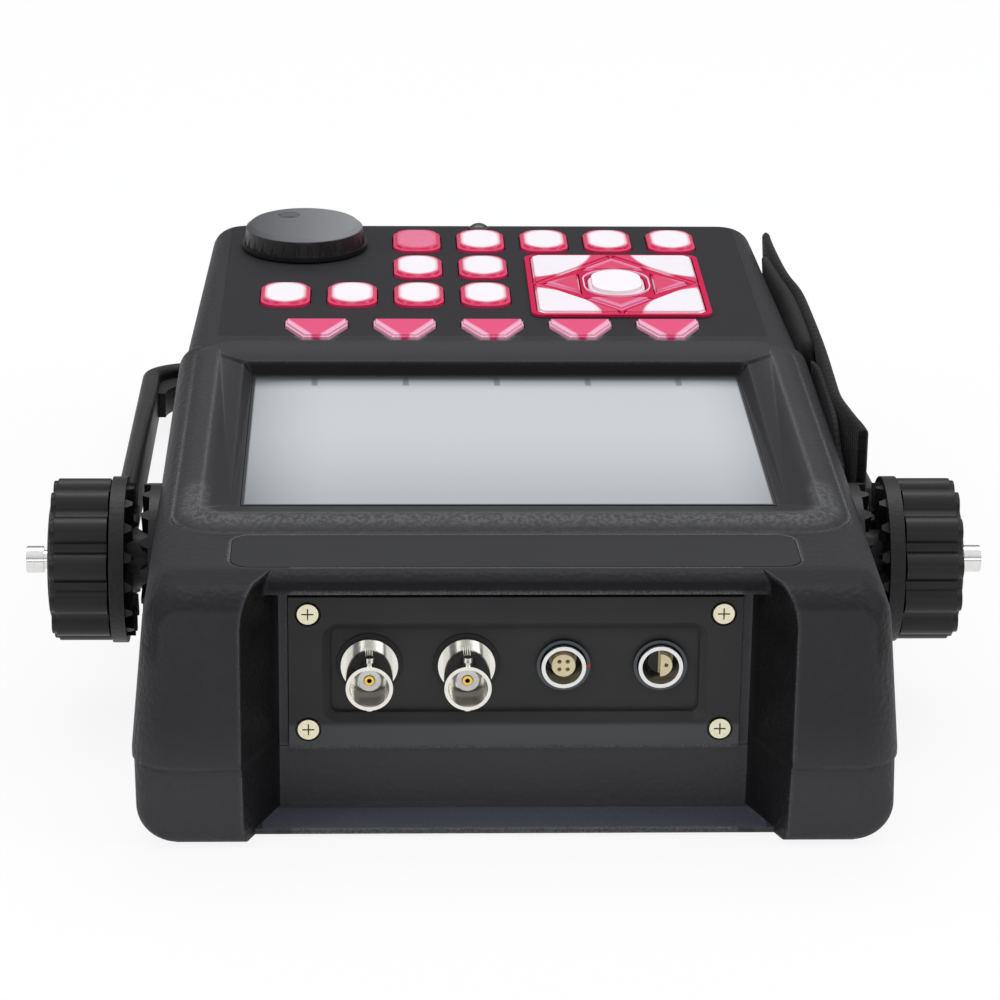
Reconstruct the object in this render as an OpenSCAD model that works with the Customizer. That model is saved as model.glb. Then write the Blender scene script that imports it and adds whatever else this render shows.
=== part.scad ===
// Portable ultrasonic flaw detector lying on its back.
// X runs across the instrument, Y from the socket end to the keypad end, Z up from the table.
// The origin is on the table, under the middle of the whole footprint.

/* [Case] */
// Length of the case from the corner bumpers to the keypad end
case_l = 268; // [262:0.5:274]
// Width of the case at the parting line
case_w = 157; // [154:0.5:160]
// How far each side draws in from the parting line to the shoulder
side_draft = 2.8; // [2.4:0.1:3.2]
// How far each shoulder draws in towards the keypad end
end_taper = 4; // [3.4:0.1:4.6]
// Height of the keypad surface above the table
case_h = 56; // [54:0.5:58]
// Height of the parting line above the table
seam_z = 18; // [16:0.5:20]
// Height of the underside above the table
foot_h = 0.8; // [0.5:0.1:1.5]
// Inset of each lower side wall at the underside
under_inset = 1; // [0.6:0.1:2]
// Rounding of the top shoulder
shoulder_r = 5.5; // [4:0.5:7]
// Rounding over the top of the corner bumpers
bumper_r = 8; // [6:0.5:9]
// Radius of the upright corners
corner_r = 9; // [8:0.5:11]
// Radius of the upright corners at the keypad end
end_corner_r = 9; // [8:0.5:12]
// Length of the keypad section
keypad_l = 104; // [102:0.5:106]
// Inset of each side where the keypad section starts
step_inset = 1.1; // [0.6:0.1:2]
// Thickness of the moulded top skin over the keys
skin_t = 2; // [1.6:0.1:2.2]

/* [Socket recess] */
// Width of the recess between the bumpers at the front
recess_w = 112; // [110:0.5:114]
// Width of the recess at its back wall
recess_back_w = 97.2; // [96.6:0.2:98.6]
// Depth of the recess from the bumper faces to its back wall
recess_d = 17.5; // [17:0.1:18]
// Distance from the bumper faces to the overhanging lip
lip_y = 11; // [10:0.5:12]
// Thickness of the overhanging lip
lip_t = 4.2; // [3.6:0.1:4.8]
// Rounding of the lip
lip_r = 4; // [3:0.5:4]
// Distance from the bumper faces to the bottom sill
sill_y = 6; // [5:0.5:9]
// Height of the sill above the table
sill_z = 2; // [1.8:0.1:2.4]

/* [Connector plate] */
// Width of the connector plate
plate_w = 93.2; // [92:0.2:94]
// How far the connector plate reaches below the parting line
plate_below = 2.1; // [1.8:0.1:2.4]
// Gap between the connector plate and the underside of the lip
plate_gap = 2.8; // [2.6:0.1:3.2]
// Thickness of the connector plate
plate_t = 4.5; // [4.2:0.1:5]
// How far the plate stands out of the recess wall
plate_proud = 1; // [0.6:0.1:1.4]
// Width of the plate's middle pocket
pocket_w = 76; // [75:0.5:78]
// Height of the plate's middle pocket
pocket_h = 18.6; // [18:0.2:19.4]
// How far the pocket lies below the middle of the plate
pocket_drop = 0.25; // [0:0.05:0.5]
// Depth of the middle pocket
pocket_d = 2.5; // [2.2:0.1:2.8]
// Width of the pocket's bevelled rim
pocket_bevel = 1.7; // [1:0.1:2]
// Distance of the plate screws from the sides of the plate
screw_side = 4; // [3.6:0.1:4.4]
// Distance of the plate screws from its upper and lower edge
screw_edge = 3.7; // [3.4:0.1:4]
// Radius of the plate screw heads
screw_head_r = 2.2; // [2:0.05:2.3]
// Radius of the plate screw shanks
screw_r = 1.25; // [1:0.05:1.4]
// Length of the plate screw shanks
screw_l = 8; // [6:0.5:9]

/* [Sockets] */
// How far the socket row lies above the middle of the pocket
socket_rise = 1; // [0.6:0.1:1.4]
// Distance between neighbouring sockets
socket_pitch = 20; // [19.4:0.1:20.6]
// Outer radius of the bayonet barrel
coax_r = 4.8; // [4.6:0.05:5]
// Inner radius of the bayonet barrel
coax_bore_r = 4.05; // [3.9:0.05:4.15]
// How far the bayonet barrel stands out of the pocket
coax_l = 12.9; // [12.4:0.1:13.4]
// Radius of the bayonet socket's flange
coax_flange_r = 5.9; // [5.7:0.05:6.1]
// Thickness of the bayonet socket's flange
coax_flange_t = 0.8; // [0.6:0.1:1.2]
// Radius of the white dielectric
dielectric_r = 2.35; // [2.2:0.05:2.5]
// Outer radius of the gold contact
contact_r = 1.05; // [0.95:0.05:1.15]
// Bore of the gold contact
contact_bore_r = 0.5; // [0.4:0.05:0.6]
// Outer radius of the round push-pull sockets
round_r = 4.65; // [4.5:0.05:4.75]
// Bore of the round push-pull sockets
round_bore_r = 3.75; // [3.6:0.05:3.9]
// How far the round sockets stand out of the pocket
round_l = 2.2; // [2:0.1:2.6]
// Outer radius of the sealing rings under the bayonet sockets
seal_r = 6.85; // [6.6:0.05:7.1]
// Outer radius of the dark rings under the round sockets
nut_r = 5.6; // [5.5:0.05:5.8]

/* [Display] */
// Width of the sloping border beside the window
border_w = 9.4; // [9:0.1:9.8]
// Distance from the window's far edge to the keypad section
window_end = 18.4; // [18:0.1:19]
// Distance from the bumpers to the window's near edge
window_y = 59.2; // [58.8:0.1:59.6]
// Depth of the window's face below the keypad surface
window_depth = 3; // [2.8:0.1:3.4]
// Thickness of the window
window_t = 1.5; // [1.2:0.1:1.8]
// Distance from the ridge of the frame to the side shoulder
ridge_side = 8.7; // [8.4:0.1:9.2]
// Height of the ridge of the frame above the keypad surface
ridge_h = 2.1; // [1.8:0.1:2.6]
// Distance from the bumpers to the near ridge
ridge_y0 = 39.5; // [39:0.1:40]
// Distance from the far ridge to the keypad section
ridge_end = 6.4; // [6:0.1:7]
// Width of the slope outside the ridge
ridge_slope = 4.6; // [4:0.1:5]
// Flat width on top of the ridge
ridge_flat = 1.4; // [1:0.1:1.8]

/* [Label plate] */
// Width of the bare label plate
label_w = 116.5; // [114:0.5:118]
// Length of the bare label plate
label_l = 17.8; // [17:0.1:18]
// Distance from the bumpers to the middle of the label plate
label_y = 24.7; // [24.4:0.1:25]
// Thickness of the label plate
label_t = 0.6; // [0.4:0.1:0.8]

/* [Keys] */
// Gap between neighbouring keys of a row
key_gap = 4.3; // [4:0.1:4.6]
// Gap between neighbouring rows of keys
row_gap = 5.3; // [5:0.1:5.6]
// Corner radius of a key
key_r = 4.4; // [4:0.1:4.8]
// Height of a key above the keypad surface
key_h = 1.3; // [1:0.1:1.5]
// Height of the crown on top of a key
crown_h = 0.6; // [0.4:0.1:0.8]
// Travel of a key
key_travel = 1; // [0.8:0.1:1.2]
// Distance from the left shoulder to the first column of keys
col_left = 20.6; // [20:0.1:21]
// Distance from the keypad section's start to the near row of keys
row_near = 26.5; // [26:0.1:27]
// Distance from the right shoulder to the last column of keys
col_right = 22.6; // [22:0.1:23]
// Distance from the keypad end to the far row of keys
row_edge = 11.7; // [11.4:0.1:12]
// How far the direction pad ends inside its outer columns of keys
pad_in = 1.3; // [1:0.1:1.8]
// Gap between the direction pad and the far row of keys
pad_gap = 4.6; // [4:0.1:5]
// Height of the raised field round the direction pad
pad_field_h = 0.8; // [0.4:0.1:0.9]
// Distance from the keypad section's start to the direction pad
pad_start = 19.2; // [19:0.1:20]
// Gap between neighbouring softkeys
soft_gap = 6.3; // [6:0.1:6.6]
// Width of the softkeys at the tip
soft_tip_w = 6.2; // [5.6:0.1:6.6]
// Length of the softkeys
soft_l = 13.2; // [12.6:0.1:13.4]
// Distance from each shoulder to the middle of the outer softkey
soft_side = 28.7; // [28.4:0.1:29]
// Distance from the keypad section's start to the wide side of the softkeys
soft_start = 14.2; // [14:0.1:14.6]

/* [Rotary knob] */
// Distance from the left shoulder to the knob's skirt
dial_side = 8.2; // [7.6:0.1:8.6]
// Distance from the keypad end to the knob's axis
dial_end = 24.2; // [23.8:0.1:24.6]
// How much less the knob's radius is than the distance between columns
dial_less = 0.3; // [0:0.1:0.6]
// Height of the knob
dial_h = 7; // [6.4:0.1:7.6]
// Radius of the knob's shaft
shaft_r = 3; // [2.8:0.05:3.2]

/* [Bail] */
// Distance from the bumpers to the bail's pivots
pivot_y = 76; // [75:0.5:77]
// Height of the bail's pivots above the parting line
pivot_rise = 16; // [15.5:0.1:16.5]
// Gap between the keypad end and the grip of the resting bail
bail_clear = 1.4; // [1.2:0.1:2]
// Radius of the grip
grip_r = 6.5; // [6:0.1:6.6]
// Thickness of the bail's arms
bail_t = 4.6; // [4.2:0.1:4.8]
// Gap between the fixed hubs and the arms of the bail
bail_gap = 5.2; // [5:0.1:5.6]
// Outward splay of each arm in degrees
bail_splay = 1.2; // [1:0.1:1.4]
// Bend radius at the bail's corners
bail_bend_r = 14; // [12:0.5:16]
// Radius of the bail's eyes
eye_r = 18.3; // [18:0.1:18.6]
// Thickness of the bail's eyes
eye_t = 3.2; // [3:0.1:3.3]

/* [Bail lock] */
// Number of face teeth on each hub and eye
teeth = 16; // [12:1:20]
// Height of the face teeth
tooth_h = 1.6; // [1.3:0.1:1.7]
// Width of a tooth at its root
tooth_w = 2.7; // [2.4:0.1:2.8]
// Inner radius of the toothed ring
tooth_r0 = 11.2; // [10.8:0.1:11.6]
// Outer radius of the toothed ring
tooth_r1 = 16.8; // [16.4:0.1:17]
// Radius of the pilot boss that carries the eye
pilot_r = 6.4; // [6.2:0.1:6.6]
// How far the hub faces lie inside the case's widest line
hub_in = 0.7; // [0.5:0.1:0.9]
// Radius of the spindles
spindle_r = 3; // [2.9:0.05:3.1]
// Outer radius of the clamp knobs over the lobes
clamp_r = 17.9; // [17.6:0.1:18.1]
// Number of lobes on each clamp knob
clamp_lobes = 12; // [10:1:14]
// Thickness of the lobed part of the clamp knobs
clamp_t = 12.6; // [12:0.1:13]

/* [Hand strap] */
// Height of the padded part of the strap
strap_h = 40; // [38:0.5:41]
// Thickness of the strap
strap_t = 2.2; // [2:0.1:2.3]
// Height of the webbing ends
web_h = 24; // [22:0.5:25]
// Height of the strap's middle above the table
strap_z = 35.2; // [35:0.1:35.6]
// Distance from the bumpers to the near strap bar
bar_y0 = 103; // [102.5:0.1:103.5]
// Distance from the keypad end to the far strap bar
bar_end = 20; // [19.6:0.1:20.4]
// Radius of the moulded strap bars
bar_r = 1.6; // [1.5:0.05:1.7]

/* [Hidden] */

// Clearances and overruns
fit = 0.06;         // radial clearance of a shaft in its bore
slip = 0.25;        // clearance of a key or a loose piece in its opening
close = 0.15;       // clearance of a piece that is fitted and stays
over = 1;           // overrun of a cutting solid
clear = 0.4;        // clearance between moving pieces that pass each other
fine = 48;          // facets of true circles
soft = 32;          // facets of rounded hulls
pole = cos(180 / soft); // height of a faceted sphere against its radius

// Derived heights and lengths of the case
top_z = case_h;
ridge_z = case_h + ridge_h;
skin_z = top_z - skin_t;
seam_band = 1.6;
seam_step = 0.4;
shoulder_w = case_w - 2 * side_draft;
end_shoulder_w = shoulder_w - 2 * end_taper;
under_r = 8.4;
front_r = 2.2;
end_seam_w = end_shoulder_w + case_w - shoulder_w;
step_y = case_l - keypad_l;
pivot_z = seam_z + pivot_rise;
tongue_y1 = recess_d + 8;

// The bail rests on the table behind the keypad end
rest_gap = 0.1;
grip_y = case_l + bail_clear + grip_r;
bail_l = sqrt(pow(grip_y - pivot_y, 2) + pow(pivot_z - grip_r - rest_gap, 2));
bail_a = asin((pivot_z - grip_r - rest_gap) / bail_l);
part_l = pivot_y + bail_l * cos(bail_a) + grip_r;

// Display stack
ridge_x = shoulder_w / 2 - ridge_side;
ridge_y1 = step_y - ridge_end;
window_w = 2 * (ridge_x - border_w);
window_l = step_y - window_end - window_y;
window_z = top_z - window_depth;
dish_side = 2.2;
dish_near = 2.6;
dish_far = 2.4;
dish_x = window_w / 2 + dish_side;
dish_y0 = window_y - dish_near;
dish_y1 = window_y + window_l + dish_far;
ridge_in_y = ridge_y0 + ridge_flat;
dish_z0 = ridge_z - (ridge_z - window_z) * (dish_y0 - ridge_in_y) / (window_y - ridge_in_y);
dish_z1 = top_z;
frame_r = 6;
ledge = 1.5;
ledge_t = 2;
lcd_side = 3.8;
lcd_x = window_w / 2 + lcd_side;
lcd_y0 = window_y - lcd_side;
lcd_y1 = window_y + window_l + lcd_side;
lcd_t = 8;
lcd_z = window_z - window_t - ledge_t;

// Inner space
bay_wall = 16.5;
bay_front = 10;
bay_end = 12;
bay_x = case_w / 2 - bay_wall;
bay_y0 = recess_d + bay_front;
bay_y1 = step_y - bay_end;
key_bay_wall = 7.7;
key_bay_x = end_shoulder_w / 2 - key_bay_wall;
key_bay_end = 6.4;
key_bay_in = 2.4;
key_bay_y0 = step_y - key_bay_in;
post_in = 7;
board_t = 1.6;
flange_t = 0.9;
flange_w = 0.65;
board_z = skin_z - flange_t - key_travel - slip;
main_rise = 12;
main_z = seam_z + main_rise;
post_r = 3;

// Keys
web = 1.4;
soft_y = step_y + soft_start;
soft_pitch = (end_shoulder_w - 2 * soft_side) / 4;
soft_w = soft_pitch - soft_gap;
key_l = (keypad_l - row_near - row_edge - 2 * row_gap) / 3;
row_a = case_l - row_edge - key_l / 2;
row_b = row_a - key_l - row_gap;
row_c = row_b - key_l - row_gap;
col_pitch = (end_shoulder_w - col_left - col_right) / 6;
key_w = col_pitch - key_gap;
col_x = col_left + 2 * col_pitch - end_shoulder_w / 2;
pad_cx = col_x + 3 * col_pitch;
pad_x = col_pitch + key_w / 2 - pad_in;
pad_y0 = step_y + pad_start;
pad_y1 = row_a - key_l / 2 - pad_gap;
pad_cy = (pad_y0 + pad_y1) / 2;
pad_y = (pad_y1 - pad_y0) / 2;
pad_rim = 0.8;
star_side = 2.2;
star_x = pad_x - star_side;
star_y = pad_y - star_side;
heart_shares = [1 / 3, 0.4];
heart_w = 2 * pad_x * heart_shares.x;
heart_l = 2 * pad_y * heart_shares.y;
soft_side_share = 0.3;
arrow_share = 0.96;
crown_in = 0.9;

// Rotary knob
dial_r = col_pitch - dial_less;
dial_x = dial_side + dial_r - end_shoulder_w / 2;
dial_y = case_l - dial_end;
dial_taper = 1.5;
dial_gap = 0.5;
dial_top_r = dial_r - dial_taper;
dimple_r = 3.4;
dimple_at = 8.4;
flutes = 30;
flute_r = 1.1;
encoder_w = 12;
encoder_h = 6;
bushing_r = 4.6;

// Status lamp
lamp_end = 7.6;
lamp_r = 2.7;
lamp_h = 1.6;
lamp_dome_r = 3.4;

// Sockets
pocket_y = recess_d - plate_proud + pocket_d;
plate_y = recess_d - plate_proud;
plate_z0 = seam_z - plate_below;
plate_z1 = top_z - lip_t - plate_gap;
pocket_z = (plate_z0 + plate_z1) / 2 - pocket_drop;
socket_z = pocket_z + socket_rise;
screw_x = plate_w / 2 - screw_side;
screw_z0 = plate_z0 + screw_edge;
screw_z1 = plate_z1 - screw_edge;
coax_stub_r = 4.4;
coax_stub_l = 8;
coax_floor = 3;
dielectric_in = 4.3;
contact_out = 0.2;
seal_t = 0.4;
lug_r = 0.95;
lug_h = 1;
nut_t = 1.1;
pin_hole_r = 0.45;
insert_r = 2.45;

// Bail lock
hub_t = 2.4;
hub_x = case_w / 2 - hub_in;
bail_in_x = hub_x + bail_gap;
seat_x = hub_x - hub_t;
hub_seat_r = tooth_r1 + 2 * slip;
eye_x = bail_in_x;
eye_out_x = eye_x + eye_t;
clamp_x = eye_out_x + clear;
spindle_in = 12;
neck_l = 1.7;
neck_r = 2.1;
head_l = 3.8;
cap_t = 0.6;
lobe_depth = 2.1;
lobe_share = 0.19;

// Strap route along the right side
pin_wall = 0.5;
pin_in = 3;
lean_a = atan((case_w - shoulder_w) / 2 / (case_h - shoulder_r - seam_z));
bar_x0 = side_x(strap_z, case_w, shoulder_w) - bar_r - pin_wall;
bar_x1 = side_x(strap_z, end_seam_w, end_shoulder_w) - bar_r - pin_wall;
bar_y1 = case_l - bar_end;
bow = 2.6;
flare = 3.2;
pad_shares = [0.0, 1.06];
loop_in = bar_r + clear;
loop_out = loop_in + strap_t;
pocket_r = loop_out + clear;

// Battery
pack_side = 41.5;
pack_x = case_w / 2 - pack_side;
pack_y0 = 62;
pack_end = 14;
pack_y1 = step_y - pack_end;
pack_h = 15;
foot_r = 6;
foot_t = 2;
foot_side = 18.5;
foot_x = case_w / 2 - foot_side;
foot_y0 = 32;
foot_end = 22;
boss_out = 7;
boss_in = 8.5;
boss_far = 24;
boss_mid_x = 30;
case_screw_r = 1.5;
case_head_r = 2.8;
case_head_t = 2.2;
case_screw_l = 24;

// Everything is drawn from the bumper faces and then centred on the origin
module place() { translate([0, -part_l / 2, 0]) children(); }

module rounded_rect(w, l, r) {
  if (w > 2 * r) square([w - 2 * r, l], center = true);
  if (l > 2 * r) square([w, l - 2 * r], center = true);
  for (sx = [-1, 1], sy = [-1, 1])
    translate([sx * (w / 2 - r), sy * (l / 2 - r)]) circle(r, $fn = fine);
}

// Moves each edge of a convex outline outwards by d, or inwards when d is negative
function edge_normal(a, b) = [b.y - a.y, a.x - b.x] / norm(b - a);
function grown(p, d) = let (n = len(p)) [for (i = [0:n - 1])
  let (e = edge_normal(p[(i + n - 1) % n], p[i]), f = edge_normal(p[i], p[(i + 1) % n]))
  p[i] + d * (e + f) / (1 + e * f)];

// Cylinder along +Y from the point given
module along_y(r, l) { rotate([-90, 0, 0]) cylinder(r = r, h = l, $fn = fine); }

// Cylinder along +X from the point given
module along_x(r, l) { rotate([0, 90, 0]) cylinder(r = r, h = l, $fn = fine); }

/* Case */

// Upper half beside the display, drafted outwards to the parting line
module display_block() {
  hull() {
    for (s = [-1, 1]) {
      for (y = [corner_r, step_y - corner_r])
        translate([s * (case_w / 2 - corner_r), y, seam_z])
          cylinder(r = corner_r, h = seam_band, $fn = soft);
      translate([s * (shoulder_w / 2 - bumper_r), bumper_r, top_z - bumper_r])
        sphere(bumper_r, $fn = soft);
      translate([s * (shoulder_w / 2 - shoulder_r), step_y - shoulder_r, top_z - shoulder_r])
        sphere(shoulder_r, $fn = soft);
    }
  }
}

// Upper half under the keys, narrower and gently tapered to its end
module keypad_block() {
  hull() {
    for (s = [-1, 1]) {
      translate([s * (case_w / 2 - step_inset - corner_r), step_y - corner_r - over, seam_z])
        cylinder(r = corner_r, h = seam_band, $fn = soft);
      translate([s * (end_seam_w / 2 - end_corner_r), case_l - end_corner_r, seam_z])
        cylinder(r = end_corner_r, h = seam_band, $fn = soft);
      translate([s * (shoulder_w / 2 - step_inset - shoulder_r), step_y - 2 * shoulder_r,
                 top_z - shoulder_r]) sphere(shoulder_r, $fn = soft);
      translate([s * (end_shoulder_w / 2 - end_corner_r), case_l - end_corner_r,
                 top_z - shoulder_r]) end_round();
    }
  }
}

// Round of the far corner with the shoulder rounding turned about it
module end_round() {
  flat = end_corner_r - shoulder_r;
  rotate_extrude($fn = soft) intersection() {
    union() {
      translate([flat, 0]) circle(shoulder_r, $fn = soft);
      translate([0, -shoulder_r]) square([flat, 2 * shoulder_r]);
    }
    translate([0, -shoulder_r]) square([end_corner_r, 2 * shoulder_r]);
  }
}

// Raised frame round the display with its sloped outer sides
module display_frame() {
  hull() {
    translate([0, (ridge_y0 + ridge_y1) / 2, top_z - over])
      linear_extrude(over) rounded_rect(2 * (ridge_x + ridge_slope),
        ridge_y1 - ridge_y0 + 2 * ridge_slope, frame_r + ridge_slope);
    translate([0, (ridge_y0 + ridge_y1) / 2, ridge_z - seam_step])
      linear_extrude(seam_step) rounded_rect(2 * ridge_x, ridge_y1 - ridge_y0, frame_r);
  }
}

// Slope from the ridge down to the window, cut in two stages
module display_dish() {
  hull() {
    translate([0, (ridge_y0 + ridge_y1) / 2, ridge_z])
      linear_extrude(over) rounded_rect(2 * (ridge_x - ridge_flat),
        ridge_y1 - ridge_y0 - 2 * ridge_flat, frame_r - ridge_flat);
    dish_plate();
  }
  hull() {
    dish_plate();
    translate([0, window_y + window_l / 2, window_z - close])
      linear_extrude(close) square([window_w + 2 * close, window_l + 2 * close], center = true);
  }
}

// Middle stage of the slope, lower at its near end
module dish_plate() {
  translate([0, dish_y0, dish_z0]) rotate([atan((dish_z1 - dish_z0) / (dish_y1 - dish_y0)), 0, 0])
    linear_extrude(seam_step) translate([0, (dish_y1 - dish_y0) / 2])
      rounded_rect(2 * dish_x, dish_y1 - dish_y0, ledge);
}

// Plan of the space between the two corner bumpers
module recess_plan() {
  polygon([[-recess_w / 2 - over, -over], [recess_w / 2 + over, -over], [recess_w / 2, 0],
    [recess_back_w / 2, recess_d], [-recess_back_w / 2, recess_d], [-recess_w / 2, 0]]);
}

// Space over the lip, which ends in a rounded front edge
module lip_cut() {
  intersection() {
    linear_extrude(2 * case_h) recess_plan();
    translate([-case_w / 2, 0, 0]) rotate([90, 0, 90]) linear_extrude(case_w) difference() {
      translate([-2 * over, top_z - lip_t - over])
        square([lip_y + lip_r + 2 * over, lip_t + 3 * over]);
      translate([lip_y + lip_r, top_z - lip_r]) circle(lip_r, $fn = fine);
      translate([lip_y, top_z - lip_t - 2 * over]) square([2 * lip_r, lip_t + 2 * over - lip_r]);
    }
  }
}

// Pocket for one end of the hand strap in the right side wall
module strap_pocket(x, y) {
  lean() {
    translate([x, y, strap_z - web_h / 2 - slip])
      cylinder(r = pocket_r, h = web_h + 2 * slip, $fn = fine);
    translate([x, y - pocket_r, strap_z - web_h / 2 - slip])
      cube([case_w, 2 * pocket_r, web_h + 2 * slip]);
  }
}

// Openings of all keys through the top skin, grown by d
module key_plan(d) {
  for (i = [0:4]) translate([col_x + i * col_pitch, row_a]) key_outline(d);
  for (i = [0, 1]) translate([col_x + i * col_pitch, row_b]) key_outline(d);
  for (i = [-2:1]) translate([col_x + i * col_pitch, row_c]) key_outline(d);
  for (i = [0:4]) translate([(i - 2) * soft_pitch, soft_y]) polygon(grown(soft_cell, d));
  translate([pad_cx, pad_cy]) {
    rounded_rect(heart_w + 2 * d, heart_l + 2 * d, heart_w / 2 + d);
    for (s = [-1, 1]) {
      polygon(grown(side_arrow(s), d - web / 2));
      polygon(grown(end_arrow(s), d - web / 2));
      for (t = [-1, 1]) polygon(grown(corner_cell(s, t), d - web / 2));
    }
  }
}

module key_outline(d) { rounded_rect(key_w + 2 * d, key_l + 2 * d, key_r + d); }

// Softkey outline: wide at the keypad side, narrow towards the display
soft_cell = [[-soft_tip_w / 2, -soft_l], [soft_tip_w / 2, -soft_l], [soft_w / 2, -soft_l * soft_side_share],
  [soft_w / 2, 0], [-soft_w / 2, 0], [-soft_w / 2, -soft_l * soft_side_share]];

// Outlines of the direction pad, which divide a star in a rounded block
heart_x = heart_w / 2 + web;
heart_y = heart_l / 2 + web;
slope = star_y / star_x;
function side_arrow(s) = s > 0
  ? [[heart_x, -heart_x * slope * arrow_share], [star_x, 0], [heart_x, heart_x * slope * arrow_share]]
  : [[-heart_x, heart_x * slope * arrow_share], [-star_x, 0], [-heart_x, -heart_x * slope * arrow_share]];
function end_arrow(s) = let (w = star_x * (1 - heart_y / star_y)) s > 0
  ? [[w, heart_y], [0, star_y], [-w, heart_y]]
  : [[-w, -heart_y], [0, -star_y], [w, -heart_y]];
function corner_cell(s, t) = let (p = [[star_x, 0], [pad_x, 0], [pad_x, pad_y - key_r / 2],
    [pad_x - key_r / 2, pad_y], [0, pad_y], [0, star_y]],
    q = [for (v = p) [s * v.x, t * v.y]])
  s * t > 0 ? q : [for (i = [len(q) - 1:-1:0]) q[i]];

module front_shell() {
  color("#2a2a2c") place() {
    difference() {
      union() {
        display_block();
        keypad_block();
        display_frame();
        translate([pad_cx, pad_cy, skin_z]) linear_extrude(skin_t + pad_field_h)
          rounded_rect(2 * (pad_x + pad_rim), 2 * (pad_y + pad_rim), key_r / 2 + pad_rim);
        translate([-recess_back_w / 2, recess_d, plate_z0 - slip])
          cube([recess_back_w, tongue_y1 - recess_d, seam_z]);
      }
      display_dish();
      // Aperture under the window and space for the display module
      translate([0, window_y + window_l / 2, lcd_z - over])
        linear_extrude(top_z) square([window_w - 2 * ledge, window_l - 2 * ledge], center = true);
      translate([0, window_y + window_l / 2, window_z - window_t])
        linear_extrude(top_z) square([window_w + 2 * close, window_l + 2 * close], center = true);
      translate([-bay_x, bay_y0, plate_z0 - over])
        cube([2 * bay_x, bay_y1 - bay_y0, lcd_z - plate_z0 + over]);
      // Space under the keys
      translate([-key_bay_x, key_bay_y0, seam_z - over])
        cube([2 * key_bay_x, case_l - key_bay_end - key_bay_y0, skin_z - seam_z + over]);
      translate([0, 0, skin_z - over]) linear_extrude(skin_t + 2 * over) key_plan(slip);
      translate([dial_x, dial_y, skin_z - over])
        cylinder(r = bushing_r + close, h = skin_t + 2 * over, $fn = fine);
      translate([col_x + col_pitch, case_l - lamp_end, skin_z - over])
        cylinder(r = lamp_r + close, h = skin_t + 2 * over, $fn = fine);
      // Recess for the sockets and the front of the lip
      translate([0, 0, -over]) linear_extrude(top_z - lip_t + over) recess_plan();
      lip_cut();
      translate([-plate_w / 2 - close, plate_y, plate_z0 - close])
        cube([plate_w + 2 * close, plate_t + close, plate_z1 - plate_z0 + 2 * close]);
      translate([-pocket_w / 2, plate_y, pocket_z - pocket_h / 2 - over])
        cube([pocket_w, bay_y0, pocket_h + 2 * over]);
      for (s = [-1, 1], z = [screw_z0, screw_z1])
        translate([s * screw_x, plate_y + plate_t, z]) along_y(screw_r, screw_l - plate_t + over);
      // Seats of the bail hubs and holes for their spindles
      for (s = [-1, 1]) translate([s * seat_x, pivot_y, pivot_z]) rotate([0, s * 90, 0]) {
        cylinder(r = hub_seat_r, h = case_w, $fn = fine);
        translate([0, 0, -spindle_in]) cylinder(r = spindle_r + fit, h = case_w, $fn = fine);
      }
      // Recess of the label plate
      translate([0, label_y, top_z - label_t])
        linear_extrude(over + label_t) rounded_rect(label_w + 2 * close, label_l + 2 * close, 4 * over);
      strap_pocket(bar_x0, bar_y0);
      strap_pocket(bar_x1, bar_y1);
      strap_pins_plain();
      // Pilot holes of the case screws
      case_screw_places() translate([0, 0, seam_z - over])
        cylinder(r = case_screw_r, h = case_screw_l, $fn = fine);
    }
  }
}

module case_screw_places() {
  for (s = [-1, 1]) {
    translate([s * (bay_x + boss_out), bay_y0 + boss_in, 0]) children();
    translate([s * (bay_x + boss_out), bay_y1 - boss_far, 0]) children();
  }
  for (s = [-1, 1]) translate([s * boss_mid_x, (bay_y1 + key_bay_y0) / 2, 0]) children();
}

// Lower half: its side walls draw in towards the underside
module back_block(w, y0, y1, w1, r1) {
  hull() {
    for (s = [-1, 1]) {
      translate([s * (w / 2 - seam_step - corner_r), y0 + corner_r, seam_z - seam_band])
        cylinder(r = corner_r, h = seam_band, $fn = soft);
      translate([s * (w1 / 2 - seam_step - r1), y1 - r1 - seam_step, seam_z - seam_band])
        cylinder(r = r1, h = seam_band, $fn = soft);
      translate([s * (w / 2 - under_inset - under_r), y0 + under_inset + under_r,
                 foot_h + under_r * pole]) sphere(under_r, $fn = soft);
      translate([s * (w / 2 - under_inset - under_r), y0 + seam_step + front_r,
                 foot_h + front_r * pole]) sphere(front_r, $fn = soft);
      translate([s * (w1 / 2 - under_inset - under_r), y1 - under_inset - under_r,
                 foot_h + under_r * pole]) sphere(under_r, $fn = soft);
    }
  }
}

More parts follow.
